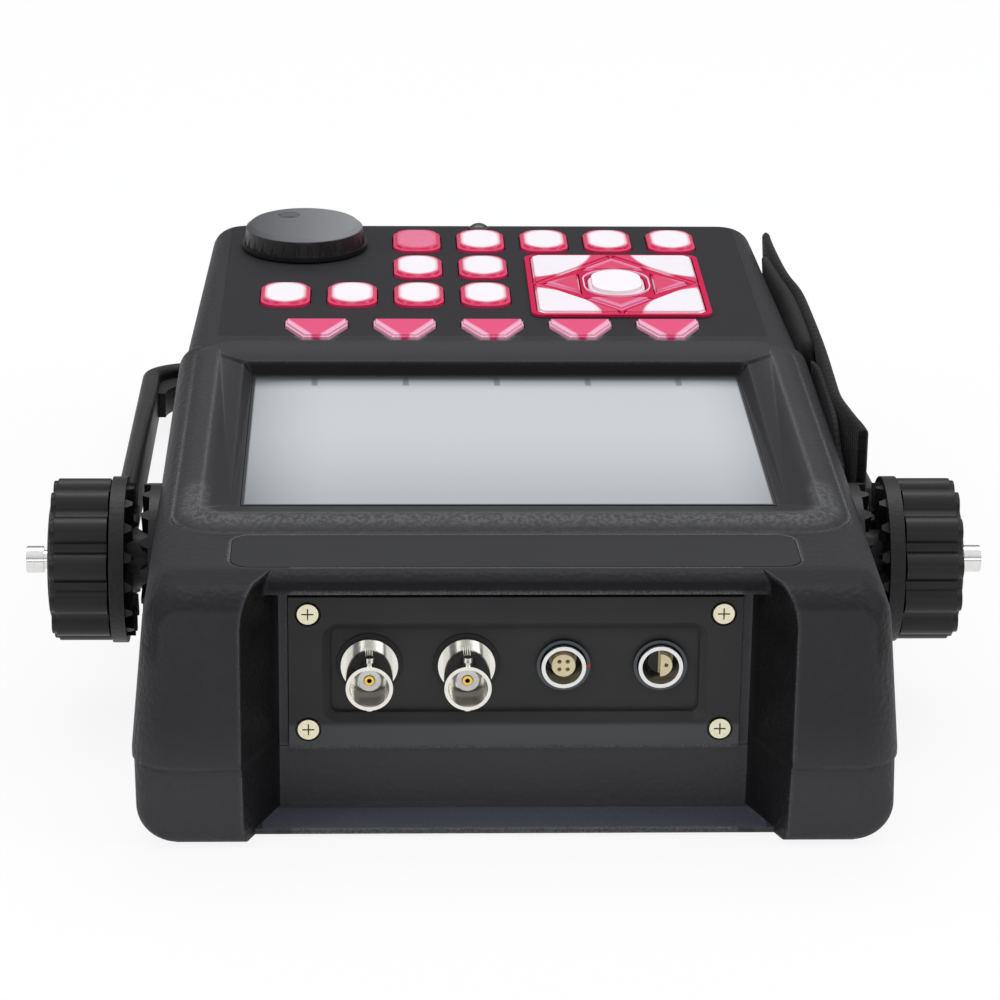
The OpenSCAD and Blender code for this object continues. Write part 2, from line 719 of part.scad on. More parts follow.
module back_shell() {
  color("#2a2a2c") place() {
    difference() {
      union() {
        back_block(case_w, seam_step, step_y, case_w, corner_r);
        back_block(case_w - 2 * step_inset, step_y - 3 * corner_r, case_l, end_seam_w, end_corner_r);
      }
      // Space between the bumpers above the sill
      translate([0, 0, sill_z]) linear_extrude(case_h) recess_plan();
      intersection() {
        translate([0, 0, -over]) linear_extrude(case_h) recess_plan();
        translate([-case_w / 2, -2 * over, -over]) cube([case_w, sill_y + 2 * over, case_h]);
      }
      translate([-recess_back_w / 2 - close, recess_d - over, plate_z0 - slip - close])
        cube([recess_back_w + 2 * close, tongue_y1 - recess_d + over + close, case_h]);
      // Lower parts of the seats of the bail hubs
      for (s = [-1, 1]) translate([s * seat_x, pivot_y, pivot_z]) rotate([0, s * 90, 0])
        cylinder(r = hub_seat_r, h = case_w, $fn = fine);
      // Space for the battery, the feet and the screws
      translate([-pack_x - slip, pack_y0 - slip, -over])
        cube([2 * (pack_x + slip), pack_y1 - pack_y0 + 2 * slip, foot_h + pack_h + over]);
      foot_places() translate([0, 0, -over])
        cylinder(r = foot_r + close, h = foot_t + over, $fn = fine);
      case_screw_places() {
        cylinder(r = case_screw_r + close, h = 2 * seam_z, $fn = fine);
        translate([0, 0, -over])
          cylinder(r = case_head_r + slip, h = over + foot_h + 2 * case_head_t, $fn = fine);
      }
    }
    // Posts under the main board and under the key board
    for (s = [-1, 1], y = [bay_y0 + boss_in, bay_y1 - post_in])
      translate([s * (bay_x - boss_in), y, seam_z - over])
      cylinder(r = post_r, h = main_z - seam_z + over, $fn = fine);
    for (s = [-1, 1], y = [key_bay_y0 + post_in, case_l - key_bay_end - post_in])
      translate([s * (key_bay_x - post_in), y, seam_z - over])
        cylinder(r = post_r, h = board_z - board_t - seam_z + over, $fn = fine);
  }
}

/* Connector plate and sockets */

module connector_plate() {
  color("#242426") place() difference() {
    translate([-plate_w / 2, plate_y, plate_z0]) cube([plate_w, plate_t, plate_z1 - plate_z0]);
    // Middle pocket with its bevelled rim
    translate([0, plate_y - over, pocket_z]) rotate([-90, 0, 0])
      linear_extrude(pocket_d + over) rounded_rect(pocket_w, pocket_h, pocket_bevel);
    hull() {
      translate([0, plate_y - close, pocket_z]) rotate([-90, 0, 0]) linear_extrude(close)
        rounded_rect(pocket_w + 2 * pocket_bevel, pocket_h + 2 * pocket_bevel, 2 * pocket_bevel);
      translate([0, plate_y + pocket_d / 2, pocket_z]) rotate([-90, 0, 0]) linear_extrude(close)
        rounded_rect(pocket_w, pocket_h, pocket_bevel);
    }
    for (i = [0, 1]) {
      translate([socket_at(i), plate_y, socket_z]) along_y(coax_stub_r + close, plate_t + over);
      translate([socket_at(i + 2), plate_y, socket_z]) along_y(round_r + close, plate_t + over);
    }
    // Seats of the screw heads, cut open towards the corners
    for (s = [-1, 1], z = [screw_z0, screw_z1]) translate([s * screw_x, plate_y - over, z]) {
      along_y(screw_head_r + 2 * slip, screw_r + over);
      along_y(screw_r + close, plate_t + 2 * over);
    }
  }
}

function socket_at(i) = (i - 1.5) * socket_pitch;

module plate_screws() {
  color("#c9c8c4") place()
    for (s = [-1, 1], z = [screw_z0, screw_z1])
      translate([s * screw_x, plate_y + screw_r, z]) difference() {
        union() {
          translate([0, -screw_r - close, 0]) along_y(screw_head_r, screw_r + close);
          along_y(screw_r - close / 2, screw_l - screw_r);
        }
        for (a = [0, 90]) rotate([0, a, 0])
          translate([-screw_r, -screw_r - over, -close]) cube([2 * screw_r, screw_r + over / 2, 2 * close]);
      }
}

module socket_seals() {
  color("#1b1b1c") place() {
    for (i = [0, 1]) translate([socket_at(i), pocket_y - seal_t, socket_z]) difference() {
      along_y(seal_r, seal_t);
      translate([0, -over, 0]) along_y(coax_stub_r + close, seal_t + 2 * over);
    }
    for (i = [2, 3]) translate([socket_at(i), pocket_y - nut_t, socket_z]) difference() {
      along_y(nut_r, nut_t);
      translate([0, -over, 0]) along_y(round_r + close, nut_t + 2 * over);
    }
  }
}

// Bayonet socket: barrel with two lugs, flange and rear stub
module coax_shell(i) {
  color("#c4c2ba") place() translate([socket_at(i), 0, socket_z]) difference() {
    union() {
      translate([0, pocket_y - coax_l, 0]) along_y(coax_r, coax_l - seal_t);
      translate([0, pocket_y - seal_t - coax_flange_t, 0]) along_y(coax_flange_r, coax_flange_t);
      translate([0, pocket_y - seal_t - over, 0]) along_y(coax_stub_r, coax_stub_l + over);
      for (s = [-1, 1]) translate([0, pocket_y - coax_l + 3 * lug_r, 0]) rotate([s * 90 - 90, 0, 0])
        cylinder(r = lug_r, h = coax_r + lug_h, $fn = fine);
    }
    translate([0, pocket_y - coax_l - over, 0]) along_y(coax_bore_r, coax_l + over - coax_floor);
    along_y(dielectric_r + close, 4 * coax_l);
  }
}

module coax_dielectric(i) {
  color("#f3f1ea") place() translate([socket_at(i), 0, socket_z]) difference() {
    union() {
      translate([0, pocket_y - coax_l + dielectric_in, 0])
        along_y(dielectric_r, coax_l + coax_stub_l - dielectric_in);
      translate([0, pocket_y - coax_floor - over, 0]) along_y(dielectric_r + over, over);
    }
    translate([0, pocket_y - coax_l, 0]) along_y(contact_r + close, 2 * coax_l + coax_stub_l);
  }
}

// Gold contact with a shoulder that stops it in the dielectric
module coax_contact(i) {
  color("#caa14a") place() translate([socket_at(i), 0, socket_z]) difference() {
    union() {
      translate([0, pocket_y - coax_l + dielectric_in - contact_out, 0])
        along_y(contact_r, coax_l + coax_stub_l - dielectric_in + contact_out + 2 * over);
      translate([0, pocket_y + coax_stub_l, 0]) along_y(contact_r + over, over);
    }
    translate([0, pocket_y - coax_l, 0]) along_y(contact_bore_r, coax_l);
  }
}

module coax_left_shell() { coax_shell(0); }
module coax_right_shell() { coax_shell(1); }
module coax_dielectrics() { for (i = [0, 1]) coax_dielectric(i); }
module coax_contacts() { for (i = [0, 1]) coax_contact(i); }

// Round push-pull socket: chromed ring with a shouldered bore
module round_socket(i) {
  color("#bdbcb8") place() translate([socket_at(i), 0, socket_z]) difference() {
    union() {
      translate([0, pocket_y - round_l, 0]) along_y(round_r, round_l + coax_stub_l);
    }
    translate([0, pocket_y - round_l - over, 0]) along_y(round_bore_r, round_l + over + plate_t);
    along_y(insert_r + close, 4 * coax_l);
  }
}

// Cream insert with four contact holes
module round_insert_a() {
  color("#e5d7b4") place() translate([socket_at(2), 0, socket_z]) difference() {
    union() {
      translate([0, pocket_y - round_l / 2, 0]) along_y(insert_r, round_l / 2 + coax_stub_l);
      translate([0, pocket_y + plate_t - over, 0]) along_y(insert_r + over / 2, over);
    }
    for (a = [45:90:315]) rotate([0, a, 0]) translate([insert_r / 2, pocket_y - round_l, 0])
      along_y(pin_hole_r, 2 * round_l);
  }
}

// Cream insert that fills one half of the bore and has one contact hole
module round_insert_b() {
  color("#e5d7b4") place() translate([socket_at(3), 0, socket_z]) difference() {
    union() {
      difference() {
        translate([0, pocket_y - round_l / 2, 0]) along_y(insert_r, round_l / 2 + coax_stub_l);
        translate([-2 * insert_r, pocket_y - round_l, -insert_r - over])
          cube([2 * insert_r, round_l + over, 2 * (insert_r + over)]);
      }
      translate([0, pocket_y + plate_t - over, 0]) along_y(insert_r + over / 2, over);
    }
    translate([insert_r / 2, pocket_y - round_l, 0]) along_y(pin_hole_r, 2 * round_l);
  }
}

module round_socket_a() { round_socket(2); }
module round_socket_b() { round_socket(3); }

/* Display and boards */

module display_window() {
  color("#cdd2d2") place() translate([-window_w / 2, window_y, window_z - window_t])
    cube([window_w, window_l, window_t]);
}

module lcd_module() {
  color("#8d9092") place() translate([-lcd_x, lcd_y0, lcd_z - lcd_t])
    cube([2 * lcd_x, lcd_y1 - lcd_y0, lcd_t]);
}

module main_board() {
  color("#2f6b3a") place() translate([-bay_x + 2 * over, bay_y0 + over, main_z])
    cube([2 * bay_x - 4 * over, bay_y1 - bay_y0 - 2 * over, board_t]);
}

module key_board() {
  color("#2f6b3a") place() difference() {
    translate([-key_bay_x + over, key_bay_y0 + over, board_z - board_t])
      cube([2 * key_bay_x - 2 * over, case_l - key_bay_end - key_bay_y0 - 2 * over, board_t]);
    translate([dial_x, dial_y, board_z - board_t - over])
      cylinder(r = bushing_r + close, h = board_t + 2 * over, $fn = fine);
  }
}

module label_plate() {
  color("#1f1f21") place() translate([0, label_y, top_z - label_t])
    linear_extrude(label_t) rounded_rect(label_w, label_l, 4 * over);
}

/* Keys */

// A key: flange under the skin, body through it and a lower crown on top
module key_body(colour, x, y) {
  color(colour) place() translate([x, y, 0]) {
    translate([0, 0, skin_z - flange_t]) linear_extrude(flange_t) key_outline(flange_w);
    translate([0, 0, skin_z]) linear_extrude(skin_t + key_h - crown_h) key_outline(0);
    translate([0, 0, top_z + key_h - crown_h]) linear_extrude(crown_h) key_outline(-crown_in);
  }
}

// The same for a key with straight sides
module flat_key(colour, x, y, cell) {
  color(colour) place() translate([x, y, 0]) {
    translate([0, 0, skin_z - flange_t]) linear_extrude(flange_t) polygon(grown(cell, flange_w));
    translate([0, 0, skin_z]) linear_extrude(skin_t + key_h - crown_h) polygon(cell);
    translate([0, 0, top_z + key_h - crown_h]) linear_extrude(crown_h)
      polygon(grown(cell, -crown_in / 2));
  }
}

module key_power() { key_body("#b3243f", col_x, row_a); }
module key_a2() { key_body("#f2eeee", col_x + col_pitch, row_a); }
module key_a3() { key_body("#f2eeee", col_x + 2 * col_pitch, row_a); }
module key_a4() { key_body("#f2eeee", col_x + 3 * col_pitch, row_a); }
module key_a5() { key_body("#f2eeee", col_x + 4 * col_pitch, row_a); }
module key_b1() { key_body("#f2eeee", col_x, row_b); }
module key_b2() { key_body("#f2eeee", col_x + col_pitch, row_b); }
module key_c1() { key_body("#f2eeee", col_x - 2 * col_pitch, row_c); }
module key_c2() { key_body("#f2eeee", col_x - col_pitch, row_c); }
module key_c3() { key_body("#f2eeee", col_x, row_c); }
module key_c4() { key_body("#f2eeee", col_x + col_pitch, row_c); }

module pad_centre() {
  color("#f2eeee") place() translate([pad_cx, pad_cy, 0]) {
    translate([0, 0, skin_z - flange_t]) linear_extrude(flange_t)
      rounded_rect(heart_w + 2 * flange_w, heart_l + 2 * flange_w, heart_w / 2 + flange_w);
    translate([0, 0, skin_z]) linear_extrude(skin_t + key_h - crown_h)
      rounded_rect(heart_w, heart_l, heart_w / 2);
    translate([0, 0, top_z + key_h - crown_h]) linear_extrude(2 * crown_h)
      rounded_rect(heart_w - 2 * crown_in, heart_l - 2 * crown_in, heart_w / 2 - crown_in);
  }
}

module pad_key(colour, cell) { flat_key(colour, pad_cx, pad_cy, grown(cell, -web / 2)); }
module pad_up() { pad_key("#c8476a", end_arrow(1)); }
module pad_down() { pad_key("#c8476a", end_arrow(-1)); }
module pad_left() { pad_key("#c8476a", side_arrow(-1)); }
module pad_right() { pad_key("#c8476a", side_arrow(1)); }
module pad_corner_1() { pad_key("#f2eeee", corner_cell(-1, 1)); }
module pad_corner_2() { pad_key("#f2eeee", corner_cell(1, 1)); }
module pad_corner_3() { pad_key("#f2eeee", corner_cell(-1, -1)); }
module pad_corner_4() { pad_key("#f2eeee", corner_cell(1, -1)); }

module softkey(i) { flat_key("#b9305a", (i - 3) * soft_pitch, soft_y, soft_cell); }
module softkey_1() { softkey(1); }
module softkey_2() { softkey(2); }
module softkey_3() { softkey(3); }
module softkey_4() { softkey(4); }
module softkey_5() { softkey(5); }

/* Rotary knob */

module encoder() {
  color("#6c6c70") place() translate([dial_x, dial_y, 0]) difference() {
    union() {
      translate([-encoder_w / 2, -encoder_w / 2, board_z - board_t - encoder_h])
        cube([encoder_w, encoder_w, encoder_h]);
      translate([0, 0, board_z - board_t - over])
        cylinder(r = bushing_r, h = top_z - board_z + board_t + over, $fn = fine);
    }
    translate([0, 0, board_z - board_t - encoder_h + over])
      cylinder(r = shaft_r + fit, h = case_h, $fn = fine);
  }
}

module encoder_shaft() {
  color("#b8b8bc") place()
    translate([dial_x, dial_y, board_z - board_t - encoder_h + over])
      cylinder(r = shaft_r, h = top_z + dial_h - 2 * over - board_z + board_t + encoder_h - over, $fn = fine);
}

// Skirt, fluted side and a finger dimple in the flat top
module rotary_knob() {
  color("#2b2b2d") place() translate([dial_x, dial_y, top_z + dial_gap]) difference() {
    union() {
      cylinder(r = dial_r, h = over, $fn = fine);
      cylinder(r1 = dial_r - over / 2, r2 = dial_top_r + over / 4, h = dial_h - 2 * over, $fn = fine);
      translate([0, 0, dial_h - 2 * over])
        cylinder(r1 = dial_top_r + over / 4, r2 = dial_top_r - over, h = over, $fn = fine);
    }
    for (k = [0:flutes - 1]) rotate(k * 360 / flutes)
      translate([dial_r, 0, over]) cylinder(r = flute_r, h = dial_h, $fn = fine);
    translate([0, 0, -over]) cylinder(r = shaft_r, h = dial_h - over - dial_gap, $fn = fine);
    translate([0, 0, -over]) cylinder(r = bushing_r + clear, h = over + close, $fn = fine);
    rotate(120) translate([dimple_at, 0, dial_h - over + dimple_r / 2])
      sphere(dimple_r, $fn = fine);
  }
}

// Small domed lamp behind the second key of the far row
module status_lamp() {
  color("#3a3a3c") place() translate([col_x + col_pitch, case_l - lamp_end, 0]) {
    translate([0, 0, skin_z]) cylinder(r = lamp_r, h = skin_t + over / 2, $fn = fine);
    intersection() {
      translate([0, 0, top_z + lamp_h - lamp_dome_r]) sphere(lamp_dome_r, $fn = fine);
      translate([0, 0, top_z + over / 4]) cylinder(r = lamp_r, h = lamp_h, $fn = fine);
    }
  }
}

/* Bail and its locks */

// Face teeth that point along +X from the plane x = 0
module face_teeth(phase) {
  for (k = [0:teeth - 1]) rotate([k * 360 / teeth + phase, 0, 0])
    translate([0, 0, tooth_r0]) linear_extrude(tooth_r1 - tooth_r0)
      polygon([[-close, -tooth_w / 2], [0, -tooth_w / 2], [tooth_h, -tooth_w / 5],
               [tooth_h, tooth_w / 5], [0, tooth_w / 2], [-close, tooth_w / 2]]);
}

module bar_section() { rounded_rect(bail_t, 2 * grip_r, bail_t * 0.42); }

// One arm, its corner and its toothed eye, on the +X side
module bail_side() {
  x0 = bail_in_x + bail_t / 2;
  yc = bail_l - bail_bend_r;
  ty = yc - bail_bend_r * sin(bail_splay);
  xc = x0 + ty * tan(bail_splay) - bail_bend_r * cos(bail_splay);
  start = clamp_r + clear;
  difference() {
    union() {
      translate([xc, yc, 0]) rotate(-bail_splay) {
        rotate_extrude(angle = 90 + bail_splay, $fn = 2 * fine)
          translate([bail_bend_r, 0]) bar_section();
        translate([bail_bend_r, 0, 0]) rotate([90, 0, 0])
          linear_extrude((ty - start) / cos(bail_splay)) bar_section();
      }
      translate([eye_x, 0, 0]) along_x(eye_r, eye_t);
      translate([eye_x, 0, -grip_r]) cube([eye_t, start + 2 * over, 2 * grip_r]);
      translate([eye_x, 0, 0]) mirror([1, 0, 0]) face_teeth(bail_a);
      // Web inside the corner
      translate([0, 0, -grip_r / 2]) linear_extrude(grip_r) difference() {
        translate([xc - bail_bend_r, yc - bail_bend_r])
          square([2 * bail_bend_r - bail_t / 4, 2 * bail_bend_r]);
        translate([xc - bail_bend_r, yc - bail_bend_r]) circle(2 * bail_bend_r - bail_t, $fn = fine);
        translate([xc, yc]) difference() {
          square(2 * bail_bend_r);
          circle(bail_bend_r, $fn = fine);
        }
      }
    }
    translate([eye_x - over - tooth_h, 0, 0]) along_x(pilot_r + fit, eye_t + 2 * over + 2 * tooth_h);
  }
  translate([-over, bail_l, 0]) along_x(grip_r, xc + over);
}

module bail() {
  color("#232325") place() translate([0, pivot_y, pivot_z]) rotate([-bail_a, 0, 0]) {
    bail_side();
    mirror([1, 0, 0]) bail_side();
  }
}

// Fixed hub with its toothed ring and the pilot boss for the eye
module hub() {
  difference() {
    union() {
      translate([seat_x, 0, 0]) along_x(tooth_r1, hub_x - seat_x);
      translate([hub_x, 0, 0]) face_teeth(360 / teeth / 2);
      translate([hub_x - over, 0, 0]) along_x(pilot_r, eye_out_x + close - hub_x + over);
    }
    along_x(spindle_r + fit, 2 * case_w);
  }
}

module hub_left() {
  color("#2d2d2f") place() translate([0, pivot_y, pivot_z]) mirror([1, 0, 0]) hub();
}
module hub_right() {
  color("#2d2d2f") place() translate([0, pivot_y, pivot_z]) hub();
}

// Long stud with a grooved end that carries a strap button
module spindle() {
  end_x = clamp_x + clamp_t + cap_t;
  translate([seat_x - spindle_in, 0, 0]) along_x(spindle_r, end_x + clear - seat_x + spindle_in);
  translate([end_x, 0, 0]) along_x(neck_r, neck_l + over);
  translate([end_x + neck_l, 0, 0]) along_x(spindle_r, head_l - close);
  translate([end_x + neck_l, 0, 0]) along_x(spindle_r - close, head_l);
}

module spindle_left() {
  color("#c6c5c1") place() translate([0, pivot_y, pivot_z]) mirror([1, 0, 0]) spindle();
}
module spindle_right() {
  color("#c6c5c1") place() translate([0, pivot_y, pivot_z]) spindle();
}

// Clamp knob: a ring of lobes round a core, with a stepped outer face
module clamp_knob() {
  core_r = clamp_r - lobe_depth;
  lobe_r = clamp_r * lobe_share;
  difference() {
    union() {
      translate([clamp_x, 0, 0]) rotate([0, 90, 0]) linear_extrude(clamp_t - over) lobed_plan(core_r, lobe_r, 0);
      translate([clamp_x + clamp_t - over, 0, 0]) rotate([0, 90, 0]) linear_extrude(over)
        lobed_plan(core_r, lobe_r, -over / 2);
      translate([clamp_x + clamp_t - over, 0, 0]) along_x(core_r - 3 * over, over + cap_t);
    }
    along_x(spindle_r + fit, 2 * case_w);
  }
}

module lobed_plan(core_r, lobe_r, d) {
  circle(core_r + d, $fn = 2 * fine);
  for (k = [0:clamp_lobes - 1]) rotate((k + 0.5) * 360 / clamp_lobes)
    translate([clamp_r - lobe_r, 0]) circle(lobe_r + d, $fn = fine);
}

module clamp_knob_left() {
  color("#2b2b2d") place() translate([0, pivot_y, pivot_z]) mirror([1, 0, 0]) clamp_knob();
}
module clamp_knob_right() {
  color("#2b2b2d") place() translate([0, pivot_y, pivot_z]) clamp_knob();
}

/* Hand strap */

// Half the width of the case's side at a height z, at the start and the end of its length
function side_x(z, low_w, top_w) =
  low_w / 2 - (low_w - top_w) / 2 * (z - seam_z) / (case_h - shoulder_r - seam_z);

// Leans what it holds against the drafted side of the case
module lean() {
  translate([bar_x0, 0, strap_z]) rotate([0, -lean_a, 0]) translate([-bar_x0, 0, -strap_z]) children();
}

// Inner face of the strap for a share t of its length, bowed out between its pins
function strap_x(t) = let (y = bar_y0 + t * (bar_y1 - bar_y0), u = max(0, (y - step_y) / (bar_y1 - step_y)))
  bar_x0 + (bar_x1 - bar_x0) * u + loop_in + bow * sqrt(max(0, sin(180 * t)));
function pad_out(t) = flare * pow(abs(2 * t - 1), 12);

// The strap in plan between two shares of its length
module strap_run(t0, t1, flared) {
  n = 24;
  run = [for (i = [0:n]) let (t = t0 + (t1 - t0) * i / n)
    [strap_x(t) + flared * min(pad_out(t), pad_out(0)), bar_y0 + t * (bar_y1 - bar_y0)]];
  back = [for (i = [n:-1:0]) run[i] + [strap_t, 0]];
  polygon(concat(run, back));
}

module strap_loop(x, y) {
  translate([x, y]) difference() {
    circle(loop_out, $fn = fine);
    circle(loop_in, $fn = fine);
  }
}

module hand_strap() {
  color("#1c1c1e") place() lean() {
    translate([0, 0, strap_z - web_h / 2]) linear_extrude(web_h) {
      strap_run(0, 1, 0);
      strap_loop(bar_x0, bar_y0);
      strap_loop(bar_x1, bar_y1);
    }
    translate([0, 0, strap_z - strap_h / 2]) linear_extrude(strap_h)
      strap_run(pad_shares[0], pad_shares[1], 1);
  }
}

// Upright steel pins that the webbing is looped round
module strap_pins() { color("#b9b9ba") place() strap_pins_plain(); }

module strap_pins_plain() {
  lean() {
    strap_pin(bar_x0, bar_y0);
    strap_pin(bar_x1, bar_y1);
  }
}

module strap_pin(x, y) {
  translate([x, y, strap_z - web_h / 2 - pin_in]) cylinder(r = bar_r, h = web_h + 2 * pin_in, $fn = fine);
}

/* Battery, feet and screws */

module battery_pack() {
  color("#262628") place() difference() {
    translate([-pack_x, pack_y0, foot_h]) cube([2 * pack_x, pack_y1 - pack_y0, pack_h]);
    translate([0, pack_y0, 0]) cylinder(r = foot_r, h = foot_h + foot_t, $fn = fine);
  }
}

module foot_places() {
  for (s = [-1, 1], y = [foot_y0, case_l - foot_end]) translate([s * foot_x, y, 0]) children();
}

module rubber_feet() {
  color("#1a1a1b") place() foot_places() cylinder(r = foot_r, h = foot_t, $fn = fine);
}

module case_screws() {
  color("#9a9a9c") place() case_screw_places() {
    translate([0, 0, foot_h + case_head_t]) difference() {
      cylinder(r = case_head_r, h = case_head_t, $fn = fine);
      translate([0, 0, -over]) cylinder(r = case_screw_r, h = over + case_head_t / 2, $fn = 6);
    }
    translate([0, 0, foot_h + 2 * case_head_t - close])
      cylinder(r = case_screw_r - close / 2, h = case_screw_l, $fn = fine);
  }
}

front_shell();
back_shell();
connector_plate();
plate_screws();
socket_seals();
coax_left_shell();
coax_right_shell();
coax_dielectrics();
coax_contacts();
round_socket_a();
round_insert_a();
round_socket_b();
round_insert_b();
display_window();
lcd_module();
main_board();
key_board();
label_plate();
key_power();
key_a2();
key_a3();
key_a4();
key_a5();
key_b1();
key_b2();
key_c1();
key_c2();
key_c3();
key_c4();
pad_centre();
pad_up();
pad_down();
pad_left();
pad_right();
pad_corner_1();
pad_corner_2();
pad_corner_3();
pad_corner_4();
softkey_1();
softkey_2();
softkey_3();
softkey_4();
softkey_5();
encoder();
encoder_shaft();
rotary_knob();
status_lamp();
bail();
hub_left();
hub_right();
spindle_left();
spindle_right();
clamp_knob_left();
clamp_knob_right();
hand_strap();
strap_pins();
battery_pack();
rubber_feet();
case_screws();
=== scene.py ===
"""The looks of a portable ultrasonic flaw detector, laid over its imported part."""
import math

import bmesh
import bpy
from mathutils import Matrix, Vector


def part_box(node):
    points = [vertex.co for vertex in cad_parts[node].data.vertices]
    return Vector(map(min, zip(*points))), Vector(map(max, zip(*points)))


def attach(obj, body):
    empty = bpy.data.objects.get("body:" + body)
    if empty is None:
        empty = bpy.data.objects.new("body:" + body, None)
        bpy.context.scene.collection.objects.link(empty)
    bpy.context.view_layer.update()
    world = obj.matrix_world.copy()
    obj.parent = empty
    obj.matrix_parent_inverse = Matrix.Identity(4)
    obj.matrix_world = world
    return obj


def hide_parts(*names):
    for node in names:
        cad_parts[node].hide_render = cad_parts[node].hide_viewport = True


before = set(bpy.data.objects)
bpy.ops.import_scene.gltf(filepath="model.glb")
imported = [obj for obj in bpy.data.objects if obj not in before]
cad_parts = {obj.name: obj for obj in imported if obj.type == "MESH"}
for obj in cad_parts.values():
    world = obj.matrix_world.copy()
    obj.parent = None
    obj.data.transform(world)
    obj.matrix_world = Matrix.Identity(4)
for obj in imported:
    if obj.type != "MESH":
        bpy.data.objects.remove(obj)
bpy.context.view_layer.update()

# The studio. The instrument lies on its back on a white table in white surroundings,
# under broad soft lamps, and is seen from the socket end, from above the table's edge.
# All places below are counted in millimetres from the fronts of the corner bumpers.
mm = 0.001
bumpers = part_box("front_shell")[0].y


def at(x, y, z):
    """A place in the object's frame, from millimetres right, away from the bumpers and up."""
    return Vector((x * mm, bumpers + y * mm, z * mm))


def ink(code):
    """The light that a written screen colour stands for."""
    parts = [int(code[i:i + 2], 16) / 255 for i in (1, 3, 5)]
    return tuple(p / 12.92 if p <= 0.04045 else ((p + 0.055) / 1.055) ** 2.4 for p in parts) + (1,)


class Wire:
    """A value on its way through a finish, so that sums on it read as plain Python."""

    def __init__(self, finish, socket):
        self.finish, self.socket = finish, socket

    def sum(self, operation, *values):
        return self.finish.node("ShaderNodeMath", {"operation": operation}, values)

    def __add__(self, other):
        return self.sum("ADD", self, other)

    def __sub__(self, other):
        return self.sum("SUBTRACT", self, other)

    def __rsub__(self, other):
        return self.sum("SUBTRACT", other, self)

    def __mul__(self, other):
        return self.sum("MULTIPLY", self, other)

    def __truediv__(self, other):
        return self.sum("DIVIDE", self, other)

    def __mod__(self, other):
        return self.sum("MODULO", self, other)

    def __pow__(self, other):
        return self.sum("POWER", self, other)

    def __abs__(self):
        return self.sum("ABSOLUTE", self)

    __radd__ = __add__
    __rmul__ = __mul__

    def least(self, other):
        return self.sum("MINIMUM", self, other)

    def most(self, other):
        return self.sum("MAXIMUM", self, other)

    def above(self, edge, blur):
        """0 below an edge and 1 above it, with a soft change of a stated width."""
        return self.finish.node("ShaderNodeMapRange", {"interpolation_type": "SMOOTHSTEP"},
                                {"Value": self, "From Min": edge - blur / 2,
                                 "From Max": edge + blur / 2})

    def below(self, edge, blur):
        """1 below an edge and 0 above it, with a soft change of a stated width."""
        return 1 - self.above(edge, blur)


class Finish:
    """A material made of one surface shader and the nodes that vary it, or a world's light."""

    def __init__(self, name, shader, home=bpy.data.materials):
        self.material = home.new(name)
        self.material.use_nodes = True
        self.tree = self.material.node_tree
        self.shader = self.tree.nodes.get("Principled BSDF") or self.tree.nodes["Background"]
        self.feed(self.shader, shader)

    def feed(self, node, values):
        """Sets a node's sockets, or links them where the value is a wire."""
        for key, value in values.items():
            if isinstance(value, Wire):
                self.tree.links.new(value.socket, node.inputs[key])
            else:
                node.inputs[key].default_value = value

    def node(self, kind, settings, values, output=0):
        """A node of a type, with its settings and its sockets' values, as one of its outputs."""
        made = self.tree.nodes.new(kind)
        for key, value in settings.items():
            setattr(made, key, value)
        self.feed(made, values if isinstance(values, dict) else dict(enumerate(values)))
        return Wire(self, made.outputs[output])

    def spot(self, source="Object"):
        """Where a point lies, in metres of the object's frame, or by another measure."""
        return self.node("ShaderNodeTexCoord", {}, {}, source)

    def parts(self, vector):
        """The three numbers of a vector."""
        return [self.node("ShaderNodeSeparateXYZ", {}, [vector], i) for i in range(3)]

    def measured(self, spot):
        """A point's millimetres to the right, away from the bumpers and up."""
        x, y, z = self.parts(spot)
        return x / mm, (y - bumpers) / mm, z / mm

    def mixed(self, share, low, high):
        """One colour where the share is 0 and another where it is 1."""
        return self.node("ShaderNodeMix", {"data_type": "RGBA"},
                         {"Factor": share, 6: low, 7: high}, 2)

    def cloud(self, spot, size, detail=2, rough=0.5):
        """Soft noise whose patches are about so many millimetres across."""
        return self.node("ShaderNodeTexNoise", {},
                         {"Vector": spot, "Scale": 1 / (size * mm), "Detail": detail,
                          "Roughness": rough}, "Fac")

    def cells(self, spot, size, feature="SMOOTH_F1"):
        """Distance from the middle of pebble-like cells of about so many millimetres."""
        return self.node("ShaderNodeTexVoronoi", {"feature": feature},
                         {"Vector": spot, "Scale": 1 / (size * mm)}, "Distance")

    def relief(self, height, depth, under=None):
        """Bumps of a stated real depth in millimetres, over other bumps if there are any."""
        values = {"Height": height, "Distance": depth * mm, "Strength": 1}
        if under is not None:
            values["Normal"] = under
        return self.node("ShaderNodeBump", {}, values)

    def vary(self, values):
        """Feeds the surface shader."""
        self.feed(self.shader, values)


def cover(finish, *pieces):
    """Gives pieces this finish in every slot."""
    for piece in pieces:
        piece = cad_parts.get(piece, piece) if isinstance(piece, str) else piece
        piece.data.materials.clear()
        piece.data.materials.append(finish.material)


def put(name, data):
    """Puts a mesh, lamp or camera into the scene as a new object."""
    made = bpy.data.objects.new(name, data)
    bpy.context.scene.collection.objects.link(made)
    return made


